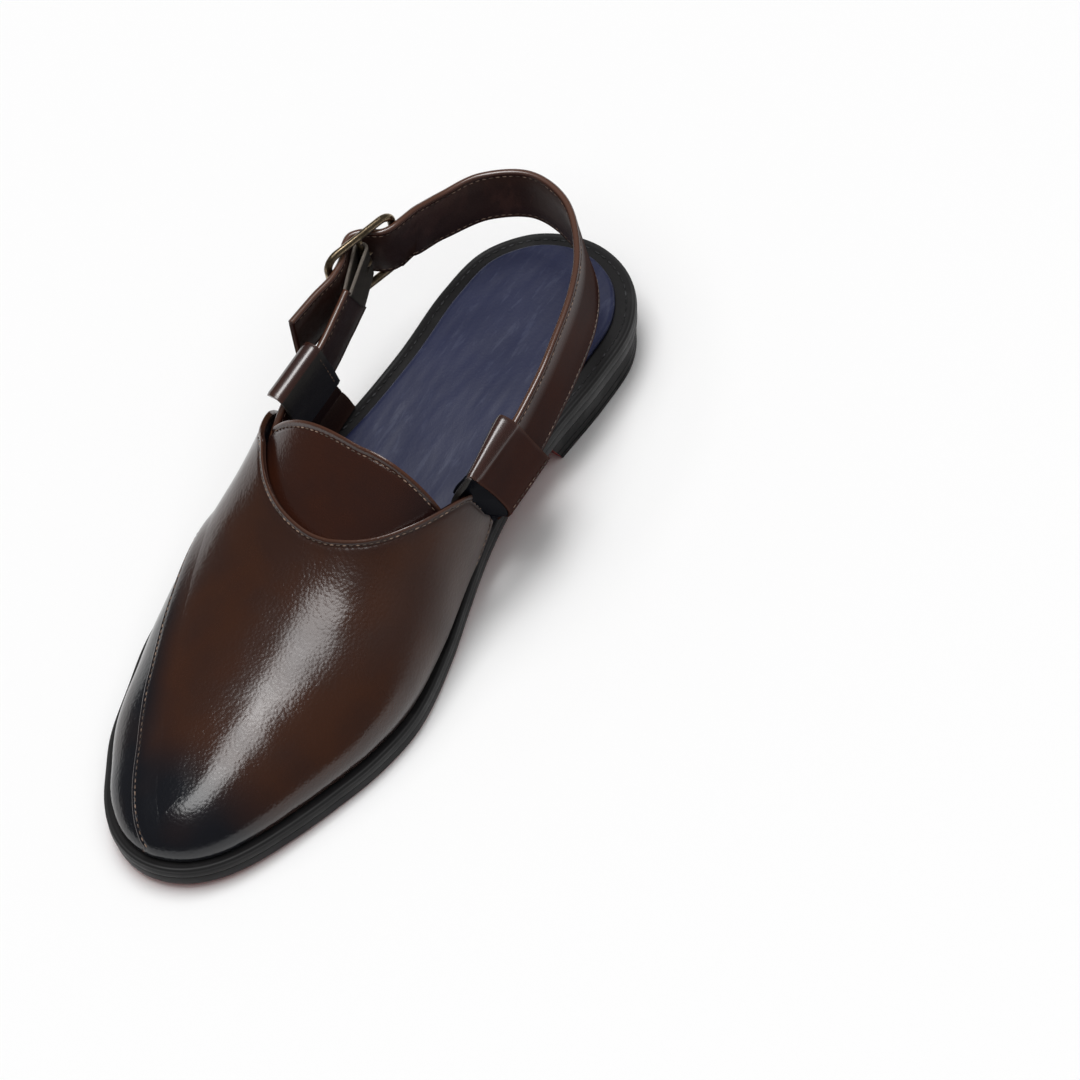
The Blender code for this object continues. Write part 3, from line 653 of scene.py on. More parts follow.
def stitches(name, lines, material, pitch, length=1.75, width=0.5, height=0.42):
    """Seams of one piece: each line is (points, normals at them). A stitch is a small flattened bead."""
    work = bmesh.new()
    for points, normals in lines:
        tree = kdtree.KDTree(len(points))
        for index, point in enumerate(points):
            tree.insert(point, index)
        tree.balance()
        for spot, along in walk(points, pitch):
            outward = normals[tree.find(spot)[1]]
            side = outward.cross(along).normalized()
            ahead = side.cross(outward).normalized()
            side = outward.cross(ahead)
            turned = Matrix((ahead, side, outward)).transposed().to_4x4()
            size = Matrix.Diagonal((length / 2 * MM, width / 2 * MM, height / 2 * MM, 1.0))
            here = Matrix.Translation(spot)
            bmesh.ops.create_uvsphere(
                work, u_segments=8, v_segments=4, radius=1.0, matrix=here @ turned @ size
            )
    return finish_mesh(work, name, [material])


def ring_points(rows, inset, height, offset, steps):
    """Points round an outline, along the outer side to the toe and back along the inner side."""
    points = []
    for side, order in ((-1, range(steps + 1)), (1, range(steps - 1, 0, -1))):
        for step in order:
            x, station, _, _ = outline_point(rows, side, step / steps, inset)
            points.append(place(x, station + offset, height(station + offset)))
    return points


def above(base, rise):
    return lambda station: base(station) + rise


def ring_shell(rings):
    """A closed bmesh through rings that have the same number of points."""
    around = len(rings[0])
    work = grid_surface(around, len(rings) - 1, lambda i, j: rings[j][i % around])
    close_up(work, 0.003)
    return work


def plate(name, rows, profile, materials, steps, offset=0.0):
    """A plate with an outline's shape. Each profile row is (inset, height function), bottom first."""
    work = ring_shell([ring_points(rows, inset, height, offset, steps) for inset, height in profile])
    split_caps(work)
    return finish_mesh(work, name, materials)


def cut_out(shape, cutter_mesh):
    """Cuts a closed cutter from a piece and keeps the result as its mesh."""
    cutter = bpy.data.objects.new("cutter", cutter_mesh)
    bpy.context.scene.collection.objects.link(cutter)
    change = shape.modifiers.new("cut", "BOOLEAN")
    change.operation = "DIFFERENCE"
    change.solver = "EXACT"
    change.object = cutter
    bpy.context.view_layer.update()
    graph = bpy.context.evaluated_depsgraph_get()
    finished = shape.evaluated_get(graph)
    made = bpy.data.meshes.new_from_object(finished, preserve_all_data_layers=True, depsgraph=graph)
    shape.modifiers.remove(change)
    old = shape.data
    shape.data = made
    made.name = old.name
    bpy.data.meshes.remove(old)
    bpy.data.objects.remove(cutter)


# ---------------------------------------------------------------- finishes
def node_group(name, inputs, outputs):
    group = bpy.data.node_groups.new(name, "ShaderNodeTree")
    for label, kind, default in inputs:
        made = group.interface.new_socket(name=label, in_out="INPUT", socket_type=kind)
        made.default_value = default
    for label, kind in outputs:
        group.interface.new_socket(name=label, in_out="OUTPUT", socket_type=kind)
    return group, group.nodes.new("NodeGroupInput"), group.nodes.new("NodeGroupOutput")


class Tree:
    """Short ways to add nodes to a node tree and to link them."""

    def __init__(self, tree):
        self.tree = tree

    def add(self, kind, **settings):
        made = self.tree.nodes.new(kind)
        for name, value in settings.items():
            if name in made.inputs and not hasattr(made, name):
                made.inputs[name].default_value = value
            else:
                setattr(made, name, value)
        return made

    def link(self, start, end):
        self.tree.links.new(start, end)

    def math(self, operation, first, second=None, clamp=False):
        made = self.add("ShaderNodeMath", operation=operation, use_clamp=clamp)
        for socket, value in zip(made.inputs, (first, second)):
            if value is None:
                continue
            if isinstance(value, bpy.types.NodeSocket):
                self.link(value, socket)
            else:
                socket.default_value = value
        return made.outputs[0]

    def blend(self, factor, first, second):
        made = self.add("ShaderNodeMix", data_type="RGBA")
        for name, value in ((0, factor), (6, first), (7, second)):
            socket = made.inputs[name]
            if isinstance(value, bpy.types.NodeSocket):
                self.link(value, socket)
            elif isinstance(value, (int, float)):
                socket.default_value = value
            else:
                socket.default_value = (*value, 1.0)[:4]
        return made.outputs[2]

    def ramp(self, value, low, high, to_low=0.0, to_high=1.0):
        made = self.add("ShaderNodeMapRange", interpolation_type="SMOOTHSTEP")
        self.link(value, made.inputs["Value"])
        made.inputs["From Min"].default_value = low
        made.inputs["From Max"].default_value = high
        made.inputs["To Min"].default_value = to_low
        made.inputs["To Max"].default_value = to_high
        return made.outputs["Result"]


def grain_group():
    """Hide grain: small pebbles between fine creases, and pores. Scale is pebbles to the metre."""
    group, source, sink = node_group(
        "hide grain",
        [("Vector", "NodeSocketVector", (0, 0, 0)), ("Scale", "NodeSocketFloat", 1400.0),
         ("Pores", "NodeSocketFloat", 0.3)],
        [("Height", "NodeSocketFloat"), ("Mottle", "NodeSocketFloat")],
    )
    tree = Tree(group)
    warp = tree.add("ShaderNodeTexNoise", Scale=240.0, Detail=3.0, Roughness=0.55)
    tree.link(source.outputs["Vector"], warp.inputs["Vector"])
    moved = tree.add("ShaderNodeVectorMath", operation="MULTIPLY_ADD")
    tree.link(warp.outputs["Color"], moved.inputs[0])
    moved.inputs[1].default_value = (0.0012, 0.0012, 0.0012)
    tree.link(source.outputs["Vector"], moved.inputs[2])
    pebble = tree.add("ShaderNodeTexVoronoi", feature="SMOOTH_F1", Smoothness=0.35)
    tree.link(moved.outputs[0], pebble.inputs["Vector"])
    tree.link(source.outputs["Scale"], pebble.inputs["Scale"])
    fine = tree.add("ShaderNodeTexNoise", Detail=4.0, Roughness=0.6)
    tree.link(moved.outputs[0], fine.inputs["Vector"])
    tree.link(tree.math("MULTIPLY", source.outputs["Scale"], 2.3), fine.inputs["Scale"])
    dots = tree.add("ShaderNodeTexVoronoi", feature="F1")
    tree.link(source.outputs["Vector"], dots.inputs["Vector"])
    tree.link(tree.math("MULTIPLY", source.outputs["Scale"], 0.62), dots.inputs["Scale"])
    pore = tree.ramp(dots.outputs["Distance"], 0.10, 0.22, -1.0, 0.0)
    domes = tree.math("SUBTRACT", 0.6, pebble.outputs["Distance"])
    height = tree.math("ADD", domes, tree.math("MULTIPLY", fine.outputs["Fac"], 0.35))
    height = tree.math("ADD", height, tree.math("MULTIPLY", pore, source.outputs["Pores"]))
    tree.link(height, sink.inputs["Height"])
    mottle = tree.add("ShaderNodeTexNoise", Scale=42.0, Detail=3.0, Roughness=0.5)
    tree.link(source.outputs["Vector"], mottle.inputs["Vector"])
    tree.link(tree.ramp(mottle.outputs["Fac"], 0.32, 0.68), sink.inputs["Mottle"])
    return group


def streak_group():
    """Long soft streaks and creases, drawn out along the shoe."""
    group, source, sink = node_group(
        "streaks",
        [("Vector", "NodeSocketVector", (0, 0, 0)), ("Stretch", "NodeSocketVector", (150, 26, 60))],
        [("Mask", "NodeSocketFloat"), ("Height", "NodeSocketFloat")],
    )
    tree = Tree(group)
    drawn = tree.add("ShaderNodeVectorMath", operation="MULTIPLY")
    tree.link(source.outputs["Vector"], drawn.inputs[0])
    tree.link(source.outputs["Stretch"], drawn.inputs[1])
    streak = tree.add("ShaderNodeTexNoise", Scale=1.0, Detail=5.0, Roughness=0.62, Distortion=0.35)
    tree.link(drawn.outputs[0], streak.inputs["Vector"])
    tree.link(tree.ramp(streak.outputs["Fac"], 0.53, 0.70), sink.inputs["Mask"])
    tree.link(streak.outputs["Fac"], sink.inputs["Height"])
    return group


def shared(name, maker):
    return bpy.data.node_groups.get(name) or maker()


def placed_group(tree, group, **values):
    node = tree.add("ShaderNodeGroup")
    node.node_tree = group
    for name, value in values.items():
        if isinstance(value, bpy.types.NodeSocket):
            tree.link(value, node.inputs[name])
        else:
            node.inputs[name].default_value = value
    return node


def new_finish(name, roughness=0.4, metallic=0.0, coat=0.0, coat_roughness=0.15, specular=0.5):
    material = bpy.data.materials.new(name)
    material.use_nodes = True
    tree = Tree(material.node_tree)
    shader = material.node_tree.nodes["Principled BSDF"]
    shader.inputs["Roughness"].default_value = roughness
    shader.inputs["Metallic"].default_value = metallic
    shader.inputs["Coat Weight"].default_value = coat
    shader.inputs["Coat Roughness"].default_value = coat_roughness
    shader.inputs["Specular IOR Level"].default_value = specular
    place_in = tree.add("ShaderNodeTexCoord").outputs["Object"]
    return material, tree, shader, place_in


def bump(tree, shader, height, strength, distance):
    node = tree.add("ShaderNodeBump", Strength=strength, Distance=distance)
    tree.link(height, node.inputs["Height"])
    tree.link(node.outputs["Normal"], shader.inputs["Normal"])


def shade(tone, share):
    """A colour made darker, or lighter where `share` is over 1."""
    return tuple(min(1.0, share * part) for part in tone)


def mask_of(tree, name):
    return tree.add("ShaderNodeAttribute", attribute_name=name).outputs["Fac"]


def leather(name, base, dark, edge, roughness=0.19, coat=0.28, coat_roughness=0.18, grain=800.0,
            depth=0.25, pores=0.35, mottle=0.5, specular=0.45, coat_ior=1.5):
    """Polished hide. The mesh's edge mask lightens worn edges and paints highlights along them, its
    darkening mask darkens burnished parts and paints shade, and its `dull` mask takes the polish off and
    roughens."""
    material, tree, shader, spot = new_finish(name, roughness, 0.0, coat, coat_roughness, specular)
    shader.inputs["Coat IOR"].default_value = coat_ior
    tree.link(tree.ramp(mask_of(tree, "dull"), 0.0, 1.0, coat, coat * 0.05), shader.inputs["Coat Weight"])
    hide = placed_group(tree, shared("hide grain", grain_group), Vector=spot, Scale=grain, Pores=pores)
    cloudy = tree.math("MULTIPLY", hide.outputs["Mottle"], mottle)
    tone = tree.blend(cloudy, base, tuple(mix(a, b, 0.55) for a, b in zip(base, dark)))
    # Burnished parts go dark, and so does painted shade where a piece stands in a shaded gap.
    tone = tree.blend(mask_of(tree, "burnish"), tone, dark)
    # Edges go paler: worn leather, and a painted highlight along turned and cut edges.
    rubbed = tree.math("MULTIPLY", mask_of(tree, "rub"), 0.85, clamp=True)
    tone = tree.blend(rubbed, tone, edge)
    tree.link(tone, shader.inputs["Base Color"])
    gloss = tree.ramp(hide.outputs["Mottle"], 0.0, 1.0, roughness * 0.88, roughness * 1.15)
    matt = tree.math("MULTIPLY", mask_of(tree, "dull"), 0.4)
    tree.link(tree.math("ADD", gloss, matt), shader.inputs["Roughness"])
    bump(tree, shader, hide.outputs["Height"], depth, 0.00025)
    return material


def plain_hide(name, base, streak, roughness=0.55, coat=0.05, grain=1100.0, depth=0.2,
               stretch=(150, 26, 60), streak_weight=0.5):
    """Lining and sock leather: matt, with long streaks and soft creases."""
    material, tree, shader, spot = new_finish(name, roughness, 0.0, coat, 0.3, 0.32)
    hide = placed_group(tree, shared("hide grain", grain_group), Vector=spot, Scale=grain, Pores=0.2)
    lines = placed_group(tree, shared("streaks", streak_group), Vector=spot, Stretch=stretch)
    weight = tree.math("MULTIPLY", lines.outputs["Mask"], streak_weight)
    tone = tree.blend(tree.math("MULTIPLY", hide.outputs["Mottle"], 0.4), base, shade(base, 0.7))
    tone = tree.blend(weight, tone, streak)
    # Darker where the darkening mask is set: burnished parts, and painted shade on the tucks' inner faces.
    tone = tree.blend(mask_of(tree, "burnish"), tone, shade(base, 0.35))
    # Paler along edges: wear, and a painted highlight.
    tone = tree.blend(tree.math("MULTIPLY", mask_of(tree, "rub"), 0.7), tone, streak)
    tree.link(tone, shader.inputs["Base Color"])
    height = tree.math("ADD", tree.math("MULTIPLY", lines.outputs["Height"], 1.6), hide.outputs["Height"])
    bump(tree, shader, height, depth, 0.00035)
    return material


def thread_finish(name, base):
    """Twisted thread."""
    material, tree, shader, spot = new_finish(name, 0.6)
    twist = tree.add("ShaderNodeTexWave", Scale=520.0, Distortion=1.2, bands_direction="DIAGONAL")
    tree.link(spot, twist.inputs["Vector"])
    patch = tree.add("ShaderNodeTexNoise", Scale=260.0, Detail=2.0)
    tree.link(spot, patch.inputs["Vector"])
    light = tree.ramp(patch.outputs["Fac"], 0.40, 0.66)
    tone = tree.blend(light, shade(base, 0.35), shade(base, 1.5))
    tree.link(tone, shader.inputs["Base Color"])
    bump(tree, shader, twist.outputs["Fac"], 0.4, 0.0001)
    return material


def rubber(name, base, scuff_and_highlight=(0.06, 0.06, 0.06), roughness=0.45, grain=900.0, depth=0.15, coat=0.03,
           specular=0.14):
    """Moulded rubber or sealed sole edge, lightly scuffed. Its edge mask adds the scuff colour, which on the
    welt's top lip is a painted highlight.
    """
    material, tree, shader, spot = new_finish(name, roughness, 0.0, coat, 0.25, specular)
    fine = tree.add("ShaderNodeTexNoise", Scale=grain, Detail=5.0, Roughness=0.65)
    tree.link(spot, fine.inputs["Vector"])
    wide = tree.add("ShaderNodeTexNoise", Scale=60.0, Detail=4.0, Roughness=0.6)
    tree.link(spot, wide.inputs["Vector"])
    worn = tree.math("MULTIPLY", tree.ramp(wide.outputs["Fac"], 0.52, 0.75), 0.2)
    tone = tree.blend(worn, base, scuff_and_highlight)
    # Paler along the masked edge: a painted highlight in the scuff colour.
    tone = tree.blend(tree.math("MULTIPLY", mask_of(tree, "rub"), 0.8), tone, scuff_and_highlight)
    tree.link(tone, shader.inputs["Base Color"])
    gloss = tree.ramp(wide.outputs["Fac"], 0.3, 0.7, roughness * 0.8, roughness * 1.25)
    tree.link(gloss, shader.inputs["Roughness"])
    bump(tree, shader, fine.outputs["Fac"], depth, 0.0003)
    return material


def brass_finish(name, base):
    """Antique brass: brown in the hollows, brighter where it's rubbed."""
    material, tree, shader, spot = new_finish(name, 0.3, 1.0)
    cloud = tree.add("ShaderNodeTexNoise", Scale=210.0, Detail=5.0, Roughness=0.6)
    tree.link(spot, cloud.inputs["Vector"])
    dark = tree.ramp(cloud.outputs["Fac"], 0.42, 0.66)
    tone = tree.blend(dark, base, shade(base, 0.30))
    tree.link(tone, shader.inputs["Base Color"])
    tree.link(tree.ramp(cloud.outputs["Fac"], 0.35, 0.7, 0.22, 0.46), shader.inputs["Roughness"])
    bump(tree, shader, cloud.outputs["Fac"], 0.06, 0.0002)
    return material


def web_finish(name, base):
    """Elastic web: fine cords both ways, read from its own UV. Its `rub` mask marks the plaited edges."""
    material, tree, shader, _ = new_finish(name, 0.8)
    spot = tree.add("ShaderNodeUVMap", uv_map="UVMap").outputs["UV"]
    ribs = tree.add("ShaderNodeTexWave", bands_direction="X", Scale=150.0, Distortion=0.0)
    tree.link(spot, ribs.inputs["Vector"])
    cords = tree.add("ShaderNodeTexWave", bands_direction="Y", Scale=420.0, Distortion=0.5)
    tree.link(spot, cords.inputs["Vector"])
    both = tree.math("MULTIPLY", ribs.outputs["Fac"], tree.math("ADD", 0.4, cords.outputs["Fac"]))
    tone = tree.blend(both, shade(base, 0.25), base)
    plait = tree.math("MULTIPLY", mask_of(tree, "rub"), tree.ramp(cords.outputs["Fac"], 0.3, 0.6, 0.25, 1.0))
    tone = tree.blend(plait, tone, shade(base, 2.6))
    tree.link(tone, shader.inputs["Base Color"])
    bump(tree, shader, both, 0.7, 0.0003)
    return material


FINISHES = {}


def finishes():
    """Every finish of the shoe, made once from the panel's colours."""
    if FINISHES:
        return FINISHES
    tones = bpy.context.scene.chappal_colours
    made = {
        "vamp": leather("vamp leather", tones.leather, tones.leather_dark, tones.edge),
        "strap": leather("strap leather", tones.strap, tones.leather_dark, tones.edge, grain=1700.0,
                         coat=1.0, coat_roughness=0.24, specular=0.0, coat_ior=1.9),
        "tongue": leather("tongue leather", tones.tongue, tones.leather_dark, tones.edge, depth=0.24,
                          grain=1300.0, coat=0.25),
        "lining": plain_hide("lining", tones.lining, shade(tones.lining, 2.2)),
        "lining_dark": plain_hide("dark lining", tones.lining_dark, shade(tones.lining_dark, 2.0)),
        "insole": plain_hide("navy sock", tones.insole, (0.075, 0.085, 0.14), roughness=0.5, coat=0.12,
                             grain=900.0, depth=0.10, stretch=(420, 90, 60), streak_weight=0.28),
        "thread": thread_finish("brown thread", tones.thread),
        "thread_dark": thread_finish("black thread", (0.03, 0.03, 0.032)),
        "welt": rubber("welt", tones.welt),
        "heel": rubber("heel", shade(tones.welt, 0.8), roughness=0.6, coat=0.0, specular=0.12),
        "sole": rubber("red sole", tones.sole, scuff_and_highlight=(0.36, 0.05, 0.035), roughness=0.38, grain=500.0,
                       depth=0.1, coat=0.25),
        "groove": rubber("border groove", (0.035, 0.006, 0.005), roughness=0.6, coat=0.0),
        "tread": rubber("tread", tones.tread, scuff_and_highlight=(0.05, 0.042, 0.036), roughness=0.62,
                        depth=0.3, coat=0.0),
        "brass": brass_finish("antique brass", tones.brass),
        "web": web_finish("elastic web", tones.elastic),
    }
    FINISHES.update(made)
    return FINISHES


def set_mask(shape, name, value_at):
    """A point attribute from 0 to 1 on a finished mesh; `value_at` takes a vertex."""
    layer = shape.data.attributes.new(name, "FLOAT", "POINT")
    for vertex in shape.data.vertices:
        layer.data[vertex.index].value = max(0.0, min(1.0, value_at(vertex)))


def away(distance, start, end):
    """1 up to `start` millimetres away, falling to 0 at `end`."""
    return 1 - ease((distance / MM - start) / (end - start))


def rim_profile(distance, height, bead=1.7, lead=0.25):
    """Rise of a turned edge at `distance` millimetres from it: a bead, a stitch groove, then flat."""
    if distance > 2 * bead:
        return 0.0
    if distance < bead:
        return height * math.sin(math.pi * min(1.0, (distance + lead) / (bead + lead))) ** 0.7
    return -0.5 * height * math.sin(math.pi * (distance - bead) / bead) ** 2


def edge_tree(points, steps=6):
    """Finds the nearest place on a line, which is filled in with `steps` places to a stretch."""
    dense = []
    for before, after in zip(points[:-1], points[1:]):
        for step in range(steps):
            dense.append(before.lerp(after, step / steps))
    dense.append(points[-1])
    tree = kdtree.KDTree(len(dense))
    for index, point in enumerate(dense):
        tree.insert(point, index)
    tree.balance()
    return tree


# ---------------------------------------------------------------- vamp
# Rows of vertices beside a turned edge, as distances from it.
RIM_ROWS = [0.0, 0.25, 0.5, 0.8, 1.1, 1.4, 1.7, 1.95, 2.2, 2.5, 2.9, 3.4, 4.2, 5.4, 7.0]


def rim_row(inset):
    """The row that lies nearest to `inset` millimetres from the edge."""
    return min(range(len(RIM_ROWS)), key=lambda index: abs(RIM_ROWS[index] - inset))


class VampShape:
    """Places on the vamp: columns run forward from the rear edge and close at the toe."""

    def __init__(self, throat_steps, side_steps=22, rows=76):
        self.edge = run_across(LATERAL_REAR, side_steps)[:-1]
        self.corner_lateral = len(self.edge)
        self.edge += run_across(THROAT, throat_steps)
        self.corner_medial = len(self.edge) - 1
        self.edge += run_across(MEDIAL_REAR, side_steps)[1:]
        self.columns = len(self.edge) - 1
        self.rim_rows = len(RIM_ROWS) - 1
        self.rows = self.rim_rows + rows
        self.points = {}

    def coordinates(self, i, j):
        rim = self.edge[i]
        if j <= self.rim_rows:
            station = rim.station + RIM_ROWS[j]
            share = 0.0
        else:
            start = turn_of(rim.station + RIM_ROWS[-1])
            share = (j - self.rim_rows) / (self.rows - self.rim_rows)
            station = station_of(mix(start, 1.0, share))
        even = 2 * i / self.columns - 1
        return station, mix(rim.across, even, share)

    def at(self, i, j):
        if (i, j) not in self.points:
            self.points[i, j] = place(*last_point(*self.coordinates(i, j)))
        return self.points[i, j]

    def normal(self, i, j):
        left, right = self.at(max(0, i - 1), j), self.at(min(self.columns, i + 1), j)
        low, high = self.at(i, max(0, j - 1)), self.at(i, min(self.rows - 1, j + 1))
        if j >= self.rows:
            low, high = self.at(i, self.rows - 2), self.at(i, self.rows)
            left, right = self.at(max(0, i - 1), j - 1), self.at(min(self.columns, i + 1), j - 1)
        return (right - left).cross(low - high).normalized()


def lap_path(steps=14):
    """The lapped seam on the vamp, as closely spaced points of the last."""
    stations = table_steps(LAP, ("across", "station"), steps)
    return [place(*last_point(min(station, LENGTH), across)) for across, station in stations]


def vamp_burnish(point, seam, near_edge):
    """How dark the vamp is: burnished at the toe and beside the lapped seam, and darker low down by the welt
    and near its rim.
    """
    toe_start, lap_start = 240, 168
    outer_reach, inner_reach, rim_reach = 26, 12, 7
    station = MIDDLE - point.y / MM
    cloud = noise.noise(point * 60)
    toe = ease((station - toe_start) / 26) * (0.95 + 0.3 * cloud)
    spot, _, distance = seam.find(point)
    outer = point.x < spot.x
    lap = (1.0 if outer else 0.9) * away(distance, 1, outer_reach if outer else inner_reach)
    lap *= ease((station - lap_start) / 40) * (1 + 0.3 * cloud)
    low = 0.55 * (1 - ease((point.z / MM - seat_height(station) - 2) / 9))
    rear = 0.25 * away(near_edge.find(point)[2], 1, rim_reach) if near_edge else 0.0
    return max(toe, lap, low, rear)


class CHAPPAL_OT_vamp(bpy.types.Operator):
    """Build the vamp with its turned edges, the lap of its inner panel, and their seams"""

    bl_idname = "chappal.vamp"
    bl_label = "Vamp"

    def execute(self, context):
        sizes = context.scene.chappal_sizes
        looks = finishes()
        shape = VampShape(sizes.edge_steps)
        rim = sizes.rim_height / MM
        near_edge = edge_tree([shape.at(i, 0) for i in range(shape.columns + 1)])
        seam = edge_tree(lap_path())

        def where(i, j):
            point = shape.at(i, j)
            outward = shape.normal(i, j)
            distance = near_edge.find(point)[2] / MM
            rise = 0.16 * noise.noise(point * 55) + 0.10 * noise.noise(point * 120)
            rise *= ease(distance / 12) * ease((shape.rows - j) / 8)
            rise += rim_profile(distance, rim)
            return point + outward * rise * MM

        work = grid_surface(shape.columns, shape.rows, where, turn=True)
        bmesh.ops.remove_doubles(work, verts=work.verts, dist=0.01 * MM)
        vamp = finish_mesh(work, "vamp", [looks["vamp"], looks["lining"]])

        def dull_flank(vertex):
            """The steep inner flank behind the ball, which is less polished than the top."""
            station = MIDDLE - vertex.co.y / MM
            steep = ease((vertex.normal.x - 0.3) / 0.35)
            return 0.8 * steep * (1 - ease((station - 165) / 45))

        set_mask(vamp, "burnish", lambda vertex: vamp_burnish(vertex.co, seam, near_edge))
        set_mask(vamp, "dull", dull_flank)
        # Paler along the turned edges: wear, and a painted highlight on the rim's bead.
        set_mask(vamp, "rub", lambda vertex: 0.55 * away(near_edge.find(vertex.co)[2], 0.5, 1.6))
        wall(vamp, UPPER_WALL, inner=1)
        soften(vamp, 0.35)
        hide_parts("upper")
        self.seams(shape, near_edge, sizes, looks)
        self.lap(vamp, sizes, looks)
        return {"FINISHED"}

    def seams(self, shape, near_edge, sizes, looks):
        """Stitches beside the outer rear edge, the throat and the inner rear edge."""
        inset = sizes.stitch_inset / MM
        row = rim_row(inset)
        lines = []
        runs = (
            (0, shape.corner_lateral),
            (shape.corner_lateral, shape.corner_medial),
            (shape.corner_medial, shape.columns),
        )
        for first, last in runs:
            points = []
            normals = []
            for i in range(first, last + 1):
                best = min(
                    range(row, len(RIM_ROWS)),
                    key=lambda j: abs(near_edge.find(shape.at(i, j))[2] / MM - inset),
                )
                outward = shape.normal(i, best)
                points.append(shape.at(i, best) + outward * STITCH_LIFT * MM)
                normals.append(outward)
            lines.append((points, normals))
        seam = stitches("vamp_stitches", lines, looks["thread"], sizes.stitch_pitch)

    def lap(self, vamp, sizes, looks):
        """The inner panel's turned edge over the outer panel: a step that dies into the vamp."""
        body = bmesh.new()
        body.from_mesh(vamp.data)
        tree = BVHTree.FromBMesh(body)
        body.free()
        least_step = 0.5 * MM
        path = []
        for point in lap_path():
            if not path or (point - path[-1]).length > least_step:
                path.append(point)
        frames = []
        for index, point in enumerate(path):
            before, after = path[max(0, index - 1)], path[min(len(path) - 1, index + 1)]
            along = (after - before).normalized()
            spot, outward, _, _ = tree.find_nearest(point)
            side = outward.cross(along).normalized()
            if side.x < 0:
                side.negate()
            frames.append((spot, side, outward))
        smooth = []
        for index, (spot, _, _) in enumerate(frames):
            window = frames[max(0, index - 3): index + 4]
            aside = sum((row[1] for row in window), Vector()).normalized()
            out = sum((row[2] for row in window), Vector()).normalized()
            smooth.append((spot, aside, out))
        # (across the seam, rise) in millimetres: the cut edge, the stitch groove, and the slope down.
        section = [
            (-0.10, -0.7), (-0.08, 0.25), (0.02, 0.62), (0.22, 0.88), (0.55, 1.0), (0.95, 0.98),
            (1.25, 0.86), (1.5, 0.74), (1.75, 0.84), (2.2, 0.92), (3.2, 0.86), (4.6, 0.66),
            (6.2, 0.40), (8.0, 0.16), (9.6, 0.02), (10.8, -0.10),
        ]

        rear_rows, toe_rows = 20, 8
        sunk = -0.1

        def where(i, j):
            spot, side, outward = smooth[j]
            across, rise = section[i]
            rear = ease(j / rear_rows)
            end = min(1 - ease((j - len(smooth) + toe_rows) / toe_rows), rear)
            base = spot + side * across * mix(0.06, 1.0, rear) * MM
            near, facing, _, _ = tree.find_nearest(base)
            if facing.dot(outward) < 0.3:
                facing = outward
            return near + facing * mix(min(rise, sunk), rise, end) * MM

        work = grid_surface(len(section) - 1, len(smooth) - 1, where)
        bmesh.ops.recalc_face_normals(work, faces=work.faces)
        middle = work.faces[:][len(work.faces) // 2]
        if middle.normal.dot(smooth[len(smooth) // 2][2]) < 0:
            bmesh.ops.reverse_faces(work, faces=work.faces)
        lap = finish_mesh(work, "vamp_lap", [looks["vamp"]])
        edge = edge_tree([row[0] for row in smooth])
        # Painted highlight: the lap's cut edge is made paler in the edge colour.
        set_mask(lap, "rub", lambda vertex: 0.8 * away(edge.find(vertex.co)[2], 0.4, 1.3))
        set_mask(lap, "burnish", lambda vertex: vamp_burnish(vertex.co, edge, None))
        wall(lap, 0.5)
        groove_at, groove_rise = 1.5, 0.80
        points = []
        normals = []
        for spot, side, outward in smooth[9:-6]:
            points.append(spot + side * groove_at * MM + outward * groove_rise * MM)
            normals.append(outward)
        seam = stitches("vamp_lap_stitches", [(points, normals)], looks["thread"], sizes.stitch_pitch)


# ---------------------------------------------------------------- tongue
class CHAPPAL_OT_tongue(bpy.types.Operator):
    """Build the tongue under the throat, with its turned top edge and seam"""

    bl_idname = "chappal.tongue"
    bl_label = "Tongue"

    def execute(self, context):
        sizes = context.scene.chappal_sizes
        looks = finishes()
        throat_keys = column(THROAT, "across")
        throat_stations = column(THROAT, "station")
        top = run_across(TONGUE_TOP, 72)
        depth = UPPER_WALL + 1.1
        rows = RIM_ROWS + [RIM_ROWS[-1] + 2.0 * step for step in range(1, 19)]
        cache = {}

        def base(i, j):
            if (i, j) not in cache:
                rim = top[i]
                front = curve_value(throat_keys, throat_stations, rim.across) + TONGUE_UNDERLAP
                spread = mix(rim.station, front, j / (len(rows) - 1)) + rows[j] * 0.15
                station = min(rim.station + rows[j], spread, front)
                outward = last_normal(station, rim.across)
                point = place(*last_point(station, rim.across)) - outward * depth * MM
                cache[i, j] = (point, outward)
            return cache[i, j]

        edge = edge_tree([base(i, 0)[0] for i in range(len(top))])
        rim_height = sizes.rim_height / MM

        def where(i, j):
            point, outward = base(i, j)
            distance = edge.find(point)[2] / MM
            rise = rim_profile(distance, rim_height)
            rise += 0.25 * noise.noise(point * 38) * ease(distance / 8)
            return point + outward * rise * MM

        work = grid_surface(len(top) - 1, len(rows) - 1, where, turn=True)
        tongue = finish_mesh(work, "tongue_leather", [looks["tongue"], looks["lining"]])
        # Paler along the top rim: wear, and a painted highlight on its bead.
        set_mask(tongue, "rub", lambda vertex: 0.6 * away(edge.find(vertex.co)[2], 0.5, 1.7))
        # Darker towards its sides.
        set_mask(tongue, "burnish", lambda vertex: 0.7 * ease((abs(vertex.co.x / MM + 2) - 22) / 22))
        wall(tongue, 1.6, inner=1)
        soften(tongue, 0.35)
        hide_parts("tongue")
        row = rim_row(sizes.stitch_inset / MM)
        points = []
        normals = []
        for i in range(2, len(top) - 2):
            point, outward = base(i, row)
            points.append(point + outward * STITCH_LIFT * MM)
            normals.append(outward)
        seam = stitches("tongue_stitches", [(points, normals)], looks["thread"], sizes.stitch_pitch)
        return {"FINISHED"}


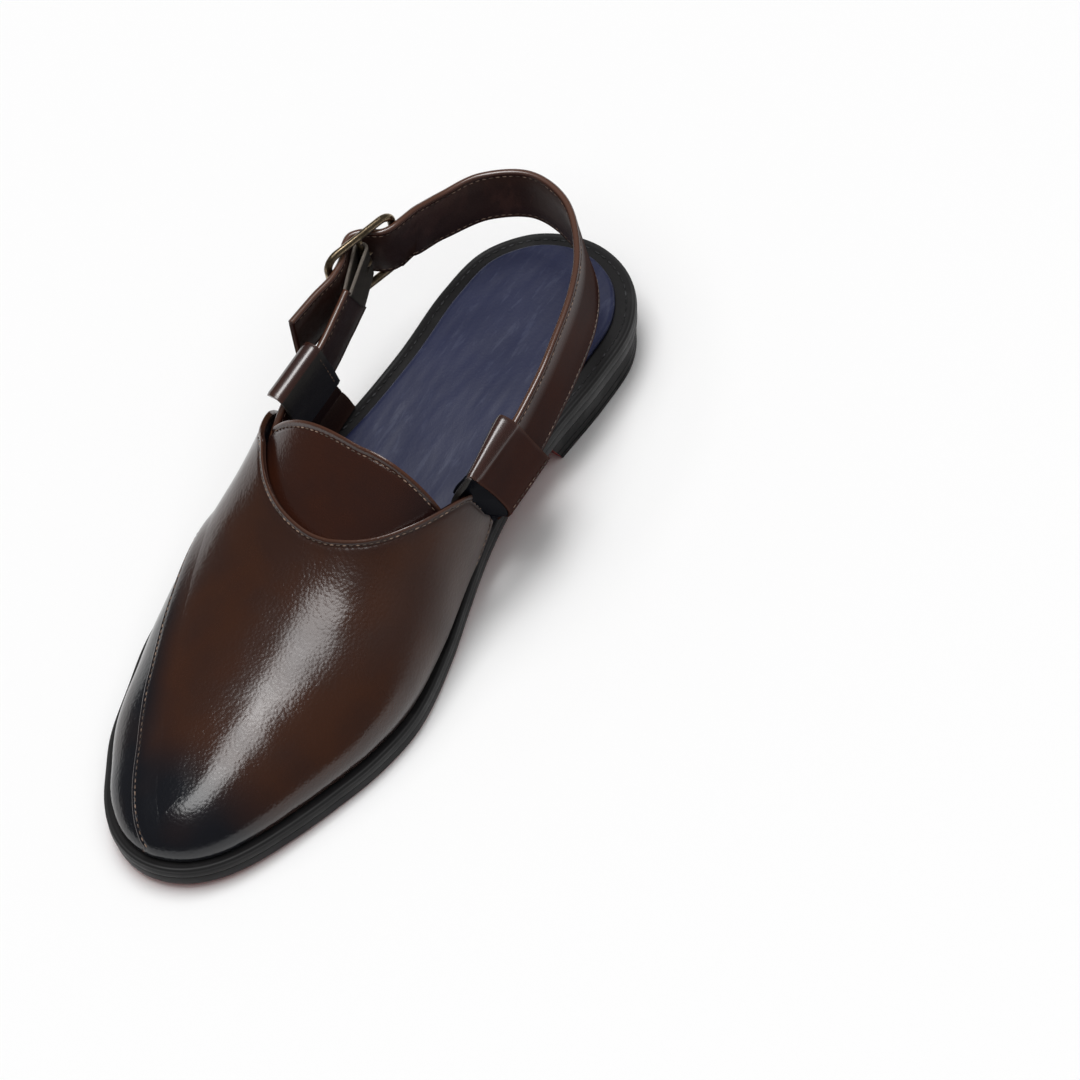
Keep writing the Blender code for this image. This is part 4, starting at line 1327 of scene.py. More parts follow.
# ---------------------------------------------------------------- loops
# Places in a loop's table, counted in rows: where its outer leather ends past the fold, where the
# seam on its inner ply starts, and where the seam across its outer ply lies.
LINING_ROW = 8.2
INNER_SEAM_ROW = 8.6
CROSS_SEAM_ROW = 2.6
# Columns of vertices beside a loop's edge, as distances from it, and the one that its seam follows.
LOOP_INSETS = [0.0, 0.3, 0.7, 1.2, 1.7, 2.1, 2.5, 3.1]
LOOP_SEAM_COLUMN = 6


class LoopShape:
    """A leather band from the sole up over the strap and down inside it."""

    def __init__(self, rows, across=26, steps=8):
        self.rows = rows
        self.steps = steps * (len(rows) - 1)
        self.across = across
        self.side = 1 if rows[0].x > 0 else -1
        self.cache = {}

    def at(self, i, j):
        if (i, j) in self.cache:
            return self.cache[i, j]
        rows = self.rows
        keys = list(range(len(rows)))
        key = j * keys[-1] / self.steps
        x, height, rear, front, skew = (
            curve_value(keys, column(rows, name), key)
            for name in ("x", "height", "rear", "front", "skew")
        )
        width = front - rear
        half = self.across // 2
        place_across = min(i, self.across - i)
        last = len(LOOP_INSETS) - 1
        if place_across <= last:
            inset = LOOP_INSETS[place_across]
        else:
            inset = mix(LOOP_INSETS[-1], width / 2, (place_across - last) / (half - last))
        station = rear + inset if i <= half else front - inset
        tilt = LOOP_PITCH * ((rear + front) / 2 - station)
        foot = seat_height(station) + GAP
        if key < 1:
            level = mix(foot, rows[1].height + tilt, ease(key) ** 0.8)
        else:
            level = height + tilt
        self.cache[i, j] = place(x + skew * (station - rear) / width, station, level)
        return self.cache[i, j]

    def row(self, key):
        """How many rows of vertices lie below a place in the table, as a fraction."""
        return key / (len(self.rows) - 1) * self.steps

    def normal(self, i, j):
        left, right = self.at(max(0, i - 1), j), self.at(min(self.across, i + 1), j)
        low, high = self.at(i, max(0, j - 1)), self.at(i, min(self.steps, j + 1))
        return (right - left).cross(high - low).normalized() * self.side * -1


class CHAPPAL_OT_loops(bpy.types.Operator):
    """Build the two folded side loops, with rounded mouths, linings and seams"""

    bl_idname = "chappal.loops"
    bl_label = "Side loops"

    def execute(self, context):
        sizes = context.scene.chappal_sizes
        looks = finishes()
        for name, rows in (("medial", MEDIAL_LOOP), ("lateral", LATERAL_LOOP)):
            self.loop(name, rows, sizes, looks)
        return {"FINISHED"}

    def loop(self, name, rows, sizes, looks):
        shape = LoopShape(rows)

        def where(i, j):
            point = shape.at(i, j)
            outward = shape.normal(i, j)
            near = min((point - shape.at(0, j)).length, (point - shape.at(shape.across, j)).length) / MM
            rise = 0.15 * noise.noise(point * 90) - 0.25 * (1 - ease(near / 1.4))
            return point + outward * rise * MM

        work = grid_surface(shape.across, shape.steps, where)
        bmesh.ops.recalc_face_normals(work, faces=work.faces)
        lining_row = shape.row(LINING_ROW)
        row_layer = work.verts.layers.int["row"]
        sample = work.faces[:][len(work.faces) // 3]
        corner = sample.verts[0]
        outward = shape.normal(corner[work.verts.layers.int["column"]], corner[row_layer])
        if sample.normal.dot(outward) < 0:
            bmesh.ops.reverse_faces(work, faces=work.faces)
        for face in work.faces:
            if min(vertex[row_layer] for vertex in face.verts) > lining_row:
                face.material_index = 1
        leathers = [looks["strap"], looks["lining_dark"], looks["lining"]]
        band = finish_mesh(work, "loop_" + name + "_leather", leathers)
        edges = [shape.at(0, j) for j in range(shape.steps + 1)]
        edges += [shape.at(shape.across, j) for j in range(shape.steps, -1, -1)]
        near_edge = edge_tree(edges)
        # Slightly paler edges: wear, and a painted highlight.
        set_mask(band, "rub", lambda vertex: 0.2 * away(near_edge.find(vertex.co)[2], 0.3, 1.0))
        # Darker towards the bottom.
        set_mask(band, "burnish", lambda vertex: 0.55 * (1 - ease((vertex.co.z / MM - 28) / 16)))
        set_mask(band, "dull", dull_where_steep)
        wall(band, 1.7, inner=2)
        soften(band, 0.3)
        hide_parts("loop_" + name)
        inner_rows = range(round(shape.row(INNER_SEAM_ROW)), shape.steps - 1)
        cross_row = round(shape.row(CROSS_SEAM_ROW))
        seams = (
            ([(LOOP_SEAM_COLUMN, j) for j in inner_rows], 0.03),
            ([(i, cross_row) for i in range(3, shape.across - 2)], 0.1),
        )
        lines = []
        for places, lift in seams:
            normals = [shape.normal(i, j) for i, j in places]
            points = [shape.at(*spot) + outward * lift * MM for spot, outward in zip(places, normals)]
            lines.append((points, normals))
        seam = stitches(
            "loop_" + name + "_stitches", lines, looks["thread"], sizes.stitch_pitch, height=0.36
        )
        self.tuck(name, shape, looks)

    def mouth_shade_sheet(self, shape):
        """Lines from the outer ply to the inner one, a little inside the mouth, from the top down: a sheet
        across the mouth, painted dark as the shade inside the loop.
        """
        back = Vector((0.0, 2.4 * MM, 0.0))
        fold = shape.steps // 2 + shape.steps // 8
        outer = [shape.at(shape.across, j) for j in range(fold)]
        inner = [shape.at(shape.across, j) for j in range(fold, shape.steps + 1)]
        lines = []
        for height in range(64, 54, -2):
            start = min(outer, key=lambda point: abs(point.z / MM - height))
            end = min(inner, key=lambda point: abs(point.z / MM - height))
            lines.append((start + back, end + back))
        return lines

    def tuck(self, name, shape, looks):
        """The loop's front edge carried on under the vamp's wing, so that no light shows between them. The
        whole piece is made fully dark and matt: painted shade in the gap under the wing and, on the inner
        loop, across its mouth.
        """
        rear = MEDIAL_REAR if shape.side > 0 else LATERAL_REAR
        front = [shape.at(shape.across, j) for j in range(shape.steps // 2)]
        wing_foot, overlap, clearance = 0.955, 3.4, 0.4
        lines = []
        for wing in run_across(rear, 24):
            if abs(wing.across) > wing_foot:
                continue
            station = wing.station + overlap
            inside = place(*last_point(station, wing.across))
            inside -= last_normal(station, wing.across) * (UPPER_WALL + clearance) * MM
            for below, over in zip(front[:-1], front[1:]):
                if below.z <= inside.z <= over.z:
                    share = (inside.z - below.z) / (over.z - below.z)
                    lines.append((below.lerp(over, share), inside))
                    break
        if shape.side > 0:
            lines = self.mouth_shade_sheet(shape) + lines
        steps, bulge, sunk = 8, 0.8, 0.9

        def where(i, j):
            start, end = lines[j]
            bow = math.sin(math.pi * i / steps) * bulge * shape.side
            return start.lerp(end, i / steps) + Vector((bow - sunk * shape.side, 0.0, 0.0)) * MM

        work = grid_surface(steps, len(lines) - 1, where)
        face_towards(work, Vector((shape.side, 0, 0)))
        piece = finish_mesh(work, "loop_" + name + "_tuck", [looks["strap"], looks["lining"]])
        # Painted shade: the tuck is darkened fully, standing in for the shade in the gap and inside the
        # loop's mouth.
        set_mask(piece, "burnish", lambda vertex: 1.0)
        set_mask(piece, "dull", lambda vertex: 1.0)
        wall(piece, 1.0, inner=1)


# ---------------------------------------------------------------- straps, elastic and buckle
def buckle_axes():
    """Middle, forward, outward and upward directions of the buckle, as world vectors."""
    middle = place(*BUCKLE_MIDDLE)
    forward = Vector((BUCKLE_FORWARD[0], -BUCKLE_FORWARD[1], BUCKLE_FORWARD[2])).normalized()
    upward = (Vector((0, 0, 1)) - forward * forward.z).normalized()
    outward = forward.cross(upward)
    return middle, forward, outward, upward


def in_buckle(along, out, up=0.0):
    middle, forward, outward, upward = buckle_axes()
    return middle + (forward * along + outward * out + upward * up) * MM


def strap_centres(rows, width, steps=12):
    """Centre line and width directions of a strap whose upper edge follows `rows`."""
    tops = []
    leans = []
    for x, station, top, lean in table_steps(rows, ("x", "station", "top", "lean"), steps):
        tops.append(place(x, station, top))
        leans.append(math.radians(lean))
    # The straps run round this place of the foot, which tells their outer side.
    middle_y = 50 * MM
    centres = []
    wides = []
    for index, top in enumerate(tops):
        along = (tops[min(len(tops) - 1, index + 1)] - tops[max(0, index - 1)]).normalized()
        upright = (Vector((0, 0, 1)) - along * along.z).normalized()
        outward = along.cross(upright)
        if outward.dot(Vector((top.x, top.y - middle_y, 0.0))) < 0:
            outward.negate()
        down = outward * math.sin(leans[index]) - upright * math.cos(leans[index])
        centres.append(top + down * width / 2)
        wides.append(down)
    return centres, wides


def edge_distance(frames, half):
    """How far a place is from the nearer edge of a band `half` wide to each side, both in metres."""
    edges = [
        edge_tree([point + wide * half * side for point, _, wide, _ in frames])
        for side in (-1, 1)
    ]
    return lambda spot: min(edge.find(spot)[2] for edge in edges)


def dull_where_steep(vertex):
    """Strap leather keeps its polish only where it looks up."""
    return 1 - ease((vertex.normal.z - 0.1) / 0.6)


class CHAPPAL_OT_straps(bpy.types.Operator):
    """Build the slingback strap and the front strap, two plies each, with edge seams"""

    bl_idname = "chappal.straps"
    bl_label = "Straps"

    def execute(self, context):
        sizes = context.scene.chappal_sizes
        looks = finishes()
        centres, wides = strap_centres(LONG_STRAP, sizes.strap_width)
        downward = -buckle_axes()[3]
        keys = column(STRAP_IN_BUCKLE, "along")
        steps = 84
        for step in range(1, steps + 1):
            along = mix(keys[0], keys[-1], step / steps)
            centres.append(in_buckle(along, curve_value(keys, column(STRAP_IN_BUCKLE, "out"), along)))
            wides.append(downward)
        self.strap("strap_long", centres, wides, sizes.strap_width, sizes, looks)
        centres, wides = strap_centres(FRONT_STRAP, sizes.tab_width)
        self.strap("strap_front", centres, wides, sizes.tab_width, sizes, looks)
        return {"FINISHED"}

    def strap(self, name, centres, wides, width, sizes, looks):
        band = Band(width / MM, sizes.strap_thick / MM)
        frames = frames_along(centres, wides)
        work = sweep(frames, band)
        column_layer = work.verts.layers.int["column"]
        point, _, _, thick = frames[0]
        lining_start = 0 if thick.dot(Vector((point.x, 0, 0))) < 0 else band.steps // 2
        lining_columns = set(range(lining_start, lining_start + band.face))
        for face in work.faces:
            if {vertex[column_layer] % band.steps for vertex in face.verts} <= lining_columns:
                face.material_index = 1
        strap = finish_mesh(work, name + "_leather", [looks["strap"], looks["lining"]])
        half = width / 2
        from_edge = edge_distance(frames, half)
        # Paler along both edges: wear, and a painted highlight on the rounded edges.
        set_mask(strap, "rub", lambda vertex: 0.8 * away(from_edge(vertex.co), 0.9, 1.5))
        set_mask(strap, "dull", dull_where_steep)
        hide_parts(name)
        lines = []
        inset = half - sizes.stitch_inset
        for sign_wide in (-1, 1):
            for sign_thick in (-1, 1):
                points = []
                normals = []
                lift = (sizes.strap_thick / 2 - STITCH_GROOVE * MM) * sign_thick
                for point, _, wide, thick in frames[3:-3]:
                    normals.append(thick * sign_thick)
                    points.append(point + wide * inset * sign_wide + thick * lift)
                lines.append((points, normals))
        seam = stitches(name + "_stitches", lines, looks["thread"], sizes.stitch_pitch, height=0.34)


class CHAPPAL_OT_buckle(bpy.types.Operator):
    """Build the elastic web, and the wire buckle with its middle bar and prong"""

    bl_idname = "chappal.buckle"
    bl_label = "Buckle and elastic"

    def execute(self, context):
        sizes = context.scene.chappal_sizes
        looks = finishes()
        self.elastic(sizes, looks)
        self.frame(looks)
        self.prong(looks)
        return {"FINISHED"}

    def elastic(self, sizes, looks):
        """The web: from the front strap's end round the middle bar and back."""
        tab, tab_wides = strap_centres(FRONT_STRAP, sizes.tab_width)
        run = (tab[-1] - tab[-2]).normalized()
        side = run.cross(tab_wides[-1]).normalized()
        if side.x > 0:
            side.negate()
        thick = 1.1
        bend = BAR_RADIUS + GAP + thick / 2
        apart = thick / 2 + 0.6
        middle, forward, outward, upward = buckle_axes()
        leave = tab[-1] - run * 1.2 * MM
        ends = [leave + side * apart * MM, leave - side * apart * MM]
        slopes = [math.atan2(-(end - middle).dot(outward), (end - middle).dot(forward)) for end in ends]
        turns, leg = 24, 18
        around = []
        for step in range(turns + 1):
            angle = -slopes[0] + (math.pi + slopes[0] - slopes[1]) * step / turns
            around.append(in_buckle(-bend * math.sin(angle), bend * math.cos(angle)))
        centres = [ends[0].lerp(around[0], step / leg) for step in range(leg)]
        centres += around
        centres += [around[-1].lerp(ends[1], step / leg) for step in range(1, leg + 1)]
        downward = -upward
        frames = []
        for index, (point, along, _, _) in enumerate(frames_along(centres, [downward] * len(centres))):
            near_tab = max(0.0, 1 - min(index, len(centres) - 1 - index) / leg)
            wide = downward.lerp(tab_wides[-1], near_tab).normalized()
            frames.append((point, along, wide, along.cross(wide).normalized()))
        work = sweep(frames, Ribbed(sizes.elastic_width / MM, thick))
        web = finish_mesh(work, "elastic_web", [looks["web"]])
        from_edge = edge_distance(frames, sizes.elastic_width / 2)
        set_mask(web, "rub", lambda vertex: away(from_edge(vertex.co), 0.9, 1.3))
        self.slit(web)
        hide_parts("elastic")

    def slit(self, web):
        """The slit in the web that the prong's hook sits in."""
        work = bmesh.new()
        _, forward, outward, upward = buckle_axes()
        bmesh.ops.create_cube(work, size=1.0)
        bmesh.ops.scale(work, vec=(12 * MM, 2.6 * MM, 9 * MM), verts=work.verts)
        turn = Matrix((forward, upward, outward)).transposed().to_4x4()
        bmesh.ops.transform(work, matrix=Matrix.Translation(in_buckle(-0.6, 0.0)) @ turn, verts=work.verts)
        bmesh.ops.recalc_face_normals(work, faces=work.faces)
        cut_out(web, mesh_of(work, "slit"))

    def frame(self, looks):
        """The wire frame with round corners, and its middle bar."""
        corner_steps = 9
        straight_x = BUCKLE_HALF_LENGTH - BUCKLE_CORNER
        straight_z = BUCKLE_HALF_HEIGHT - BUCKLE_CORNER
        points = []
        for quarter, (sign_x, sign_z) in enumerate(((1, 1), (-1, 1), (-1, -1), (1, -1))):
            for step in range(corner_steps + 1):
                angle = math.pi / 2 * (quarter + step / corner_steps)
                along = sign_x * straight_x + BUCKLE_CORNER * math.cos(angle)
                up = sign_z * straight_z + BUCKLE_CORNER * math.sin(angle)
                points.append(in_buckle(along, 0.0, up))
        outward = buckle_axes()[2]
        round_wire = frames_along(points, [outward] * len(points), closed=True)
        wire = sweep(round_wire, Round(BUCKLE_WIRE - 0.15, BUCKLE_WIRE + 0.05, 20), closed=True)
        frame_piece = finish_mesh(wire, "buckle_frame_wire", [looks["brass"]])
        reach = BUCKLE_HALF_HEIGHT
        bar_points = [in_buckle(0, 0, mix(-reach, reach, step / 8)) for step in range(9)]
        bar = sweep(frames_along(bar_points, [outward] * len(bar_points)), Round(BAR_RADIUS, BAR_RADIUS, 16))
        bar_piece = finish_mesh(bar, "buckle_bar", [looks["brass"]])
        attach(bar_piece, "root")
        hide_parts("buckle_frame")

    def prong(self, looks):
        """The prong: hooked round the middle bar, with its tip on the frame's rear wire."""
        hook = BAR_RADIUS + GAP + PRONG_RADIUS
        turns, shank = 26, 18
        points = []
        for step in range(turns + 1):
            angle = math.radians(-270 + 290 * step / turns)
            points.append(in_buckle(-hook * math.cos(angle), hook * math.sin(angle)))
        rest = BUCKLE_WIRE + GAP + PRONG_RADIUS * 0.7
        leave = points[-1]
        tip = in_buckle(-BUCKLE_HALF_LENGTH - 0.8, rest)
        for step in range(1, shank + 1):
            points.append(leave.lerp(tip, step / shank))
        upward = buckle_axes()[3]

        def taper(share):
            return 1.0 - 0.35 * ease((share - 0.9) / 0.1)

        section = Round(PRONG_RADIUS, PRONG_RADIUS, 12, taper)
        wire = sweep(frames_along(points, [upward] * len(points)), section)
        piece = finish_mesh(wire, "buckle_prong_wire", [looks["brass"]])
        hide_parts("buckle_prong")


# ---------------------------------------------------------------- sole and insole
def side_lines(rows, inset, height, first, last, steps=150):
    """Lines along the outer side, forwards, and the inner side, backwards, between two stations."""
    lines = []
    for side, order in ((-1, range(steps + 1)), (1, range(steps - 1, 0, -1))):
        line = []
        for step in order:
            x, station, _, _ = outline_point(rows, side, step / steps, inset)
            if first <= station <= last:
                line.append(place(x, station, height(station)))
        lines.append(line)
    return lines


def paint_under(shape, index):
    """Gives the faces that look at the floor another material."""
    for face in shape.data.polygons:
        if face.normal.z < -0.6:
            face.material_index = index


class CHAPPAL_OT_sole(bpy.types.Operator):
    """Build the welt, outsole, tread pad and heel, with their stitches, grooves and tread"""

    bl_idname = "chappal.sole"
    bl_label = "Sole"

    def execute(self, context):
        looks = finishes()
        self.welt(looks)
        self.outsole(looks)
        self.tread(looks)
        self.heel(looks)
        return {"FINISHED"}

    def welt(self, looks):
        """The midsole, with a rounded rim, a groove round its side and the stitched ledge on top."""
        underside = above(sole_under, OUTSOLE_THICK + GAP)
        profile = [
            (7.0, underside),
            (0.35, underside),
            (0.1, above(underside, 0.2)),
            (0.0, above(underside, 0.6)),
            (0.05, above(seat_height, -1.9)),
            (0.18, above(seat_height, -1.5)),
            (0.12, above(seat_height, -1.2)),
            (0.18, above(seat_height, -0.7)),
            (0.5, above(seat_height, -0.2)),
            (0.9, above(seat_height, 0.03)),
            (1.4, above(seat_height, 0.05)),
            (1.8, above(seat_height, -0.08)),
            (2.2, above(seat_height, -0.10)),
            (2.7, above(seat_height, 0.0)),
            (4.6, above(seat_height, 0.0)),
            (7.8, above(seat_height, -0.02)),
            (11.0, above(seat_height, -0.1)),
        ]
        welt = plate("welt", OUTLINE, profile, [looks["welt"]], 150)
        # Painted highlight: a pale line along the welt's top lip, in the scuff colour.
        outer, inner = side_lines(OUTLINE, 0.9, above(seat_height, 0.05), 0, LENGTH)
        edge = edge_tree(outer + inner)
        set_mask(welt, "rub", lambda vertex: 0.5 * away(edge.find(vertex.co)[2], 0.1, 0.6))
        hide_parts("midsole")
        seam_inset, seam_end, pitch = 3.4, 128, 3.1
        lines = []
        for points in side_lines(OUTLINE, seam_inset, above(seat_height, 0.06), 0, seam_end):
            lines.append((points, [Vector((0, 0, 1))] * len(points)))
        seam = stitches(
            "welt_stitches", lines, looks["thread_dark"], pitch * MM, length=2.6, width=0.75, height=0.6
        )

    def outsole(self, looks):
        """The outsole, black at its edge and red below, with the bed of the tread pad cut out."""
        profile = [
            (1.6, sole_under),
            (1.1, above(sole_under, 0.12)),
            (0.75, above(sole_under, 0.45)),
            (0.62, above(sole_under, 0.9)),
            (0.3, above(sole_under, OUTSOLE_THICK - 0.3)),
            (0.4, above(sole_under, OUTSOLE_THICK - 0.05)),
            (1.2, above(sole_under, OUTSOLE_THICK)),
        ]
        outsole = plate("outsole_body", OUTLINE, profile, [looks["welt"], looks["sole"]], 130)
        rings = [
            ring_points(PAD, -PAD_GROOVE, above(sole_under, rise), PAD_REAR, 90)
            for rise in (-3.0, PAD_THICK + GAP)
        ]
        cut_out(outsole, mesh_of(ring_shell(rings), "pad bed"))
        paint_under(outsole, 1)
        outsole.data.set_sharp_from_angle(angle=math.radians(35))
        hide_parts("outsole")
        self.border(looks)

    def border(self, looks):
        """A curling border line on the underside, from one end of the breast round the toe to the other."""
        inset, rear, spacing = 7.7, 84, 0.7
        outer, inner = side_lines(OUTLINE, inset, sole_under, rear, LENGTH)
        spots = walk(outer + inner, spacing * MM, 0.0)
        pitch, curl, steps = 4.2, 1.25, 22
        turns = int(len(spots) * spacing / pitch) - 1
        path = []
        for step in range(turns * steps):
            angle = 2 * math.pi * step / steps
            along = max(0.0, pitch * angle / (2 * math.pi) - curl * math.sin(angle))
            spot, run = spots[min(len(spots) - 1, int(along / spacing))]
            spot = spot + run * (along % spacing) * MM
            inward = Vector((run.y, -run.x, 0.0)).normalized()
            point = spot - inward * curl * math.cos(angle) * MM
            point.z = (sole_under(MIDDLE - point.y / MM) - 0.02) * MM
            path.append(point)
        down = Vector((0, 0, -1))
        frames = frames_along(path, [down] * len(path))
        width = 0.42

        def where(i, j):
            point, _, _, aside = frames[j]
            return point + aside * (i - 0.5) * width * MM

        work = grid_surface(1, len(frames) - 1, where)
        face_towards(work, down)
        line = finish_mesh(work, "outsole_border", [looks["groove"]])

    def tread(self, looks):
        """The pad: a lip round a sunk field, and the raised pattern in the field."""
        relief = 0.55
        profile = [
            (4.0, above(sole_under, relief)),
            (1.6, above(sole_under, relief)),
            (1.3, sole_under),
            (0.4, sole_under),
            (0.1, above(sole_under, 0.2)),
            (0.0, above(sole_under, 0.5)),
            (0.0, above(sole_under, PAD_THICK)),
        ]
        pad = plate("tread_pad_body", PAD, profile, [looks["tread"]], 80, PAD_REAR)
        pad.data.set_sharp_from_angle(angle=math.radians(40))
        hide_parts("tread_pad")
        self.frets(looks, relief)

    def frets(self, looks, relief):
        """Raised frets on the pad: squares in double lines, a small square inside, corner brackets."""
        cell, cells_along, cells_aside = 16.0, 9, 3
        start_at, start_x = PAD_REAR + 2, 1.0
        # Each bar is (x, station, width, length) from its cell's middle.
        bars = []
        for reach in (7.2, 5.9):
            bars += [(0, reach, 2 * reach, 0.55), (0, -reach, 2 * reach, 0.55)]
            bars += [(reach, 0, 0.55, 2 * reach), (-reach, 0, 0.55, 2 * reach)]
        for reach in (1.9, 0.7):
            bars += [(0, reach, 2 * reach, 0.6), (0, -reach, 2 * reach, 0.6)]
            bars += [(reach, 0, 0.6, 2 * reach), (-reach, 0, 0.6, 2 * reach)]
        for sign_x in (-1, 1):
            for sign_y in (-1, 1):
                bars += [(sign_x * 3.6, sign_y * 4.4, 2.2, 0.55), (sign_x * 4.4, sign_y * 3.6, 0.55, 2.2)]
                bars += [(sign_x * 3.0, sign_y * 3.0, 0.7, 0.7)]
        work = bmesh.new()
        for row in range(cells_along):
            for aside in range(-cells_aside, cells_aside + 1):
                middle_at = start_at + cell * row
                middle_x = start_x + cell * aside
                for x, y, wide, long in bars:
                    corners = [
                        (middle_x + x + wide / 2 * sx, middle_at + y + long / 2 * sy)
                        for sx in (-1, 1) for sy in (-1, 1)
                    ]
                    if all(self.on_pad(*corner) for corner in corners):
                        made = bmesh.ops.create_cube(work, size=1.0)["verts"]
                        for vertex in made:
                            at = middle_at + y + vertex.co.y * long
                            level = sole_under(at) + (relief + 0.1 if vertex.co.z > 0 else 0.0)
                            vertex.co = place(middle_x + x + vertex.co.x * wide, at, level)
        bmesh.ops.recalc_face_normals(work, faces=work.faces)
        frets = finish_mesh(work, "tread_frets", [looks["tread"]])
        frets.data.shade_flat()

    def on_pad(self, x, station):
        """Whether a place lies on the pad, clear of its lip."""
        local = station - PAD_REAR
        if not 2.0 < local < PAD_LENGTH - 2.0:
            return False
        turn = turn_of(local, PAD_LENGTH)
        return outline_point(PAD, -1, turn, 2.2)[0] < x < outline_point(PAD, 1, turn, 2.2)[0]

    def heel(self, looks):
        """The heel block, from the floor up, with grooves between its lifts and a slanted breast."""
        half_steps = 60
        # (share of the height, inset from the sole's outline)
        profile = (
            (0.0, 3.5), (0.012, 3.1), (0.05, 2.75), (0.20, 2.55), (0.225, 2.9), (0.25, 2.5), (0.5, 2.0),
            (0.52, 2.3), (0.54, 1.95), (0.97, 1.25), (1.0, 1.6),
        )
        rows = []
        for share, inset in profile:
            breast = mix(HEEL_BREAST[0], HEEL_BREAST[1], share)
            last_turn = turn_of(breast)
            ring = []
            for side, order in ((-1, range(half_steps + 1)), (1, range(half_steps, 0, -1))):
                for step in order:
                    x, station, _, _ = outline_point(OUTLINE, side, last_turn * step / half_steps, inset)
                    ring.append(place(x, station, share * (sole_under(station) - GAP)))
            rows.append(ring)
        work = ring_shell(rows)
        split_caps(work)
        heel = finish_mesh(work, "heel_block", [looks["heel"], looks["sole"]])
        for face in heel.data.polygons:
            if face.normal.y < -0.75 or (face.normal.z < -0.6 and face.center.z < 1.0 * MM):
                face.material_index = 1
        heel.data.set_sharp_from_angle(angle=math.radians(38))
        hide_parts("heel")


class CHAPPAL_OT_insole(bpy.types.Operator):
    """Build the padded navy sock, with a rounded edge and soft creases"""

    bl_idname = "chappal.insole"
    bl_label = "Insole"

    def execute(self, context):
        looks = finishes()
        inset = 7.2
        top = 3.1
        edge_round, edge_run = 1.7, 2.2
        swell, crease, fine_crease = 0.22, 0.22, 0.10
        columns, rows = 96, 190

        def where(i, j):
            turn = mix(0.006, 0.994, j / rows)
            left = outline_point(OUTLINE, -1, turn, inset)
            right = outline_point(OUTLINE, 1, turn, inset)
            part = 0.5 - 0.5 * math.cos(math.pi * i / columns)
            x = mix(left[0], right[0], part)
            station = mix(left[1], right[1], part)
            width = right[0] - left[0]
            near = min(part, 1 - part) * width
            ends = min(station - inset, LENGTH - inset - station)
            near = min(near, max(0.0, ends) * 1.2)
            drop = edge_round * (1 - math.sqrt(max(0.0, 1 - (1 - min(1.0, near / edge_run)) ** 2)))
            level = seat_height(station) + top - drop
            level += swell * math.sin(math.pi * part) * min(1.0, near / 8)
            level += crease * noise.noise(Vector((x / 9, station / 26, 1.7))) * min(1.0, near / 5)
            level += fine_crease * noise.noise(Vector((x / 3.1, station / 11, 4.1))) * min(1.0, near / 5)
            return place(x, station, level)

        work = grid_surface(columns, rows, where)
        bmesh.ops.remove_doubles(work, verts=work.verts, dist=0.02 * MM)
        face_towards(work, Vector((0, 0, 1)))
        border = [edge for edge in work.edges if edge.is_boundary]
        made = bmesh.ops.extrude_edge_only(work, edges=border)
        lowered = [item for item in made["geom"] if isinstance(item, bmesh.types.BMVert)]
        for vertex in lowered:
            station = MIDDLE - vertex.co.y / MM
            vertex.co.z = (seat_height(station) + GAP) * MM
        bmesh.ops.holes_fill(work, edges=[edge for edge in work.edges if edge.is_boundary])
        bmesh.ops.recalc_face_normals(work, faces=work.faces)
        split_caps(work)
        sock = finish_mesh(work, "sock", [looks["insole"]])
        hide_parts("insole")
        return {"FINISHED"}


# ---------------------------------------------------------------- stage
# Each lamp's name, strength, spread in degrees, the way to it, and whether polish mirrors it.
STUDIO = (
    ("overhead window", 0.95, 27, (-0.10, -0.08, 1.0), True),
    ("rear window", 0.60, 20, (-0.14, 0.24, 1.0), True),
    ("ceiling", 1.48, 75, (0.05, -0.05, 1.0), False),
)


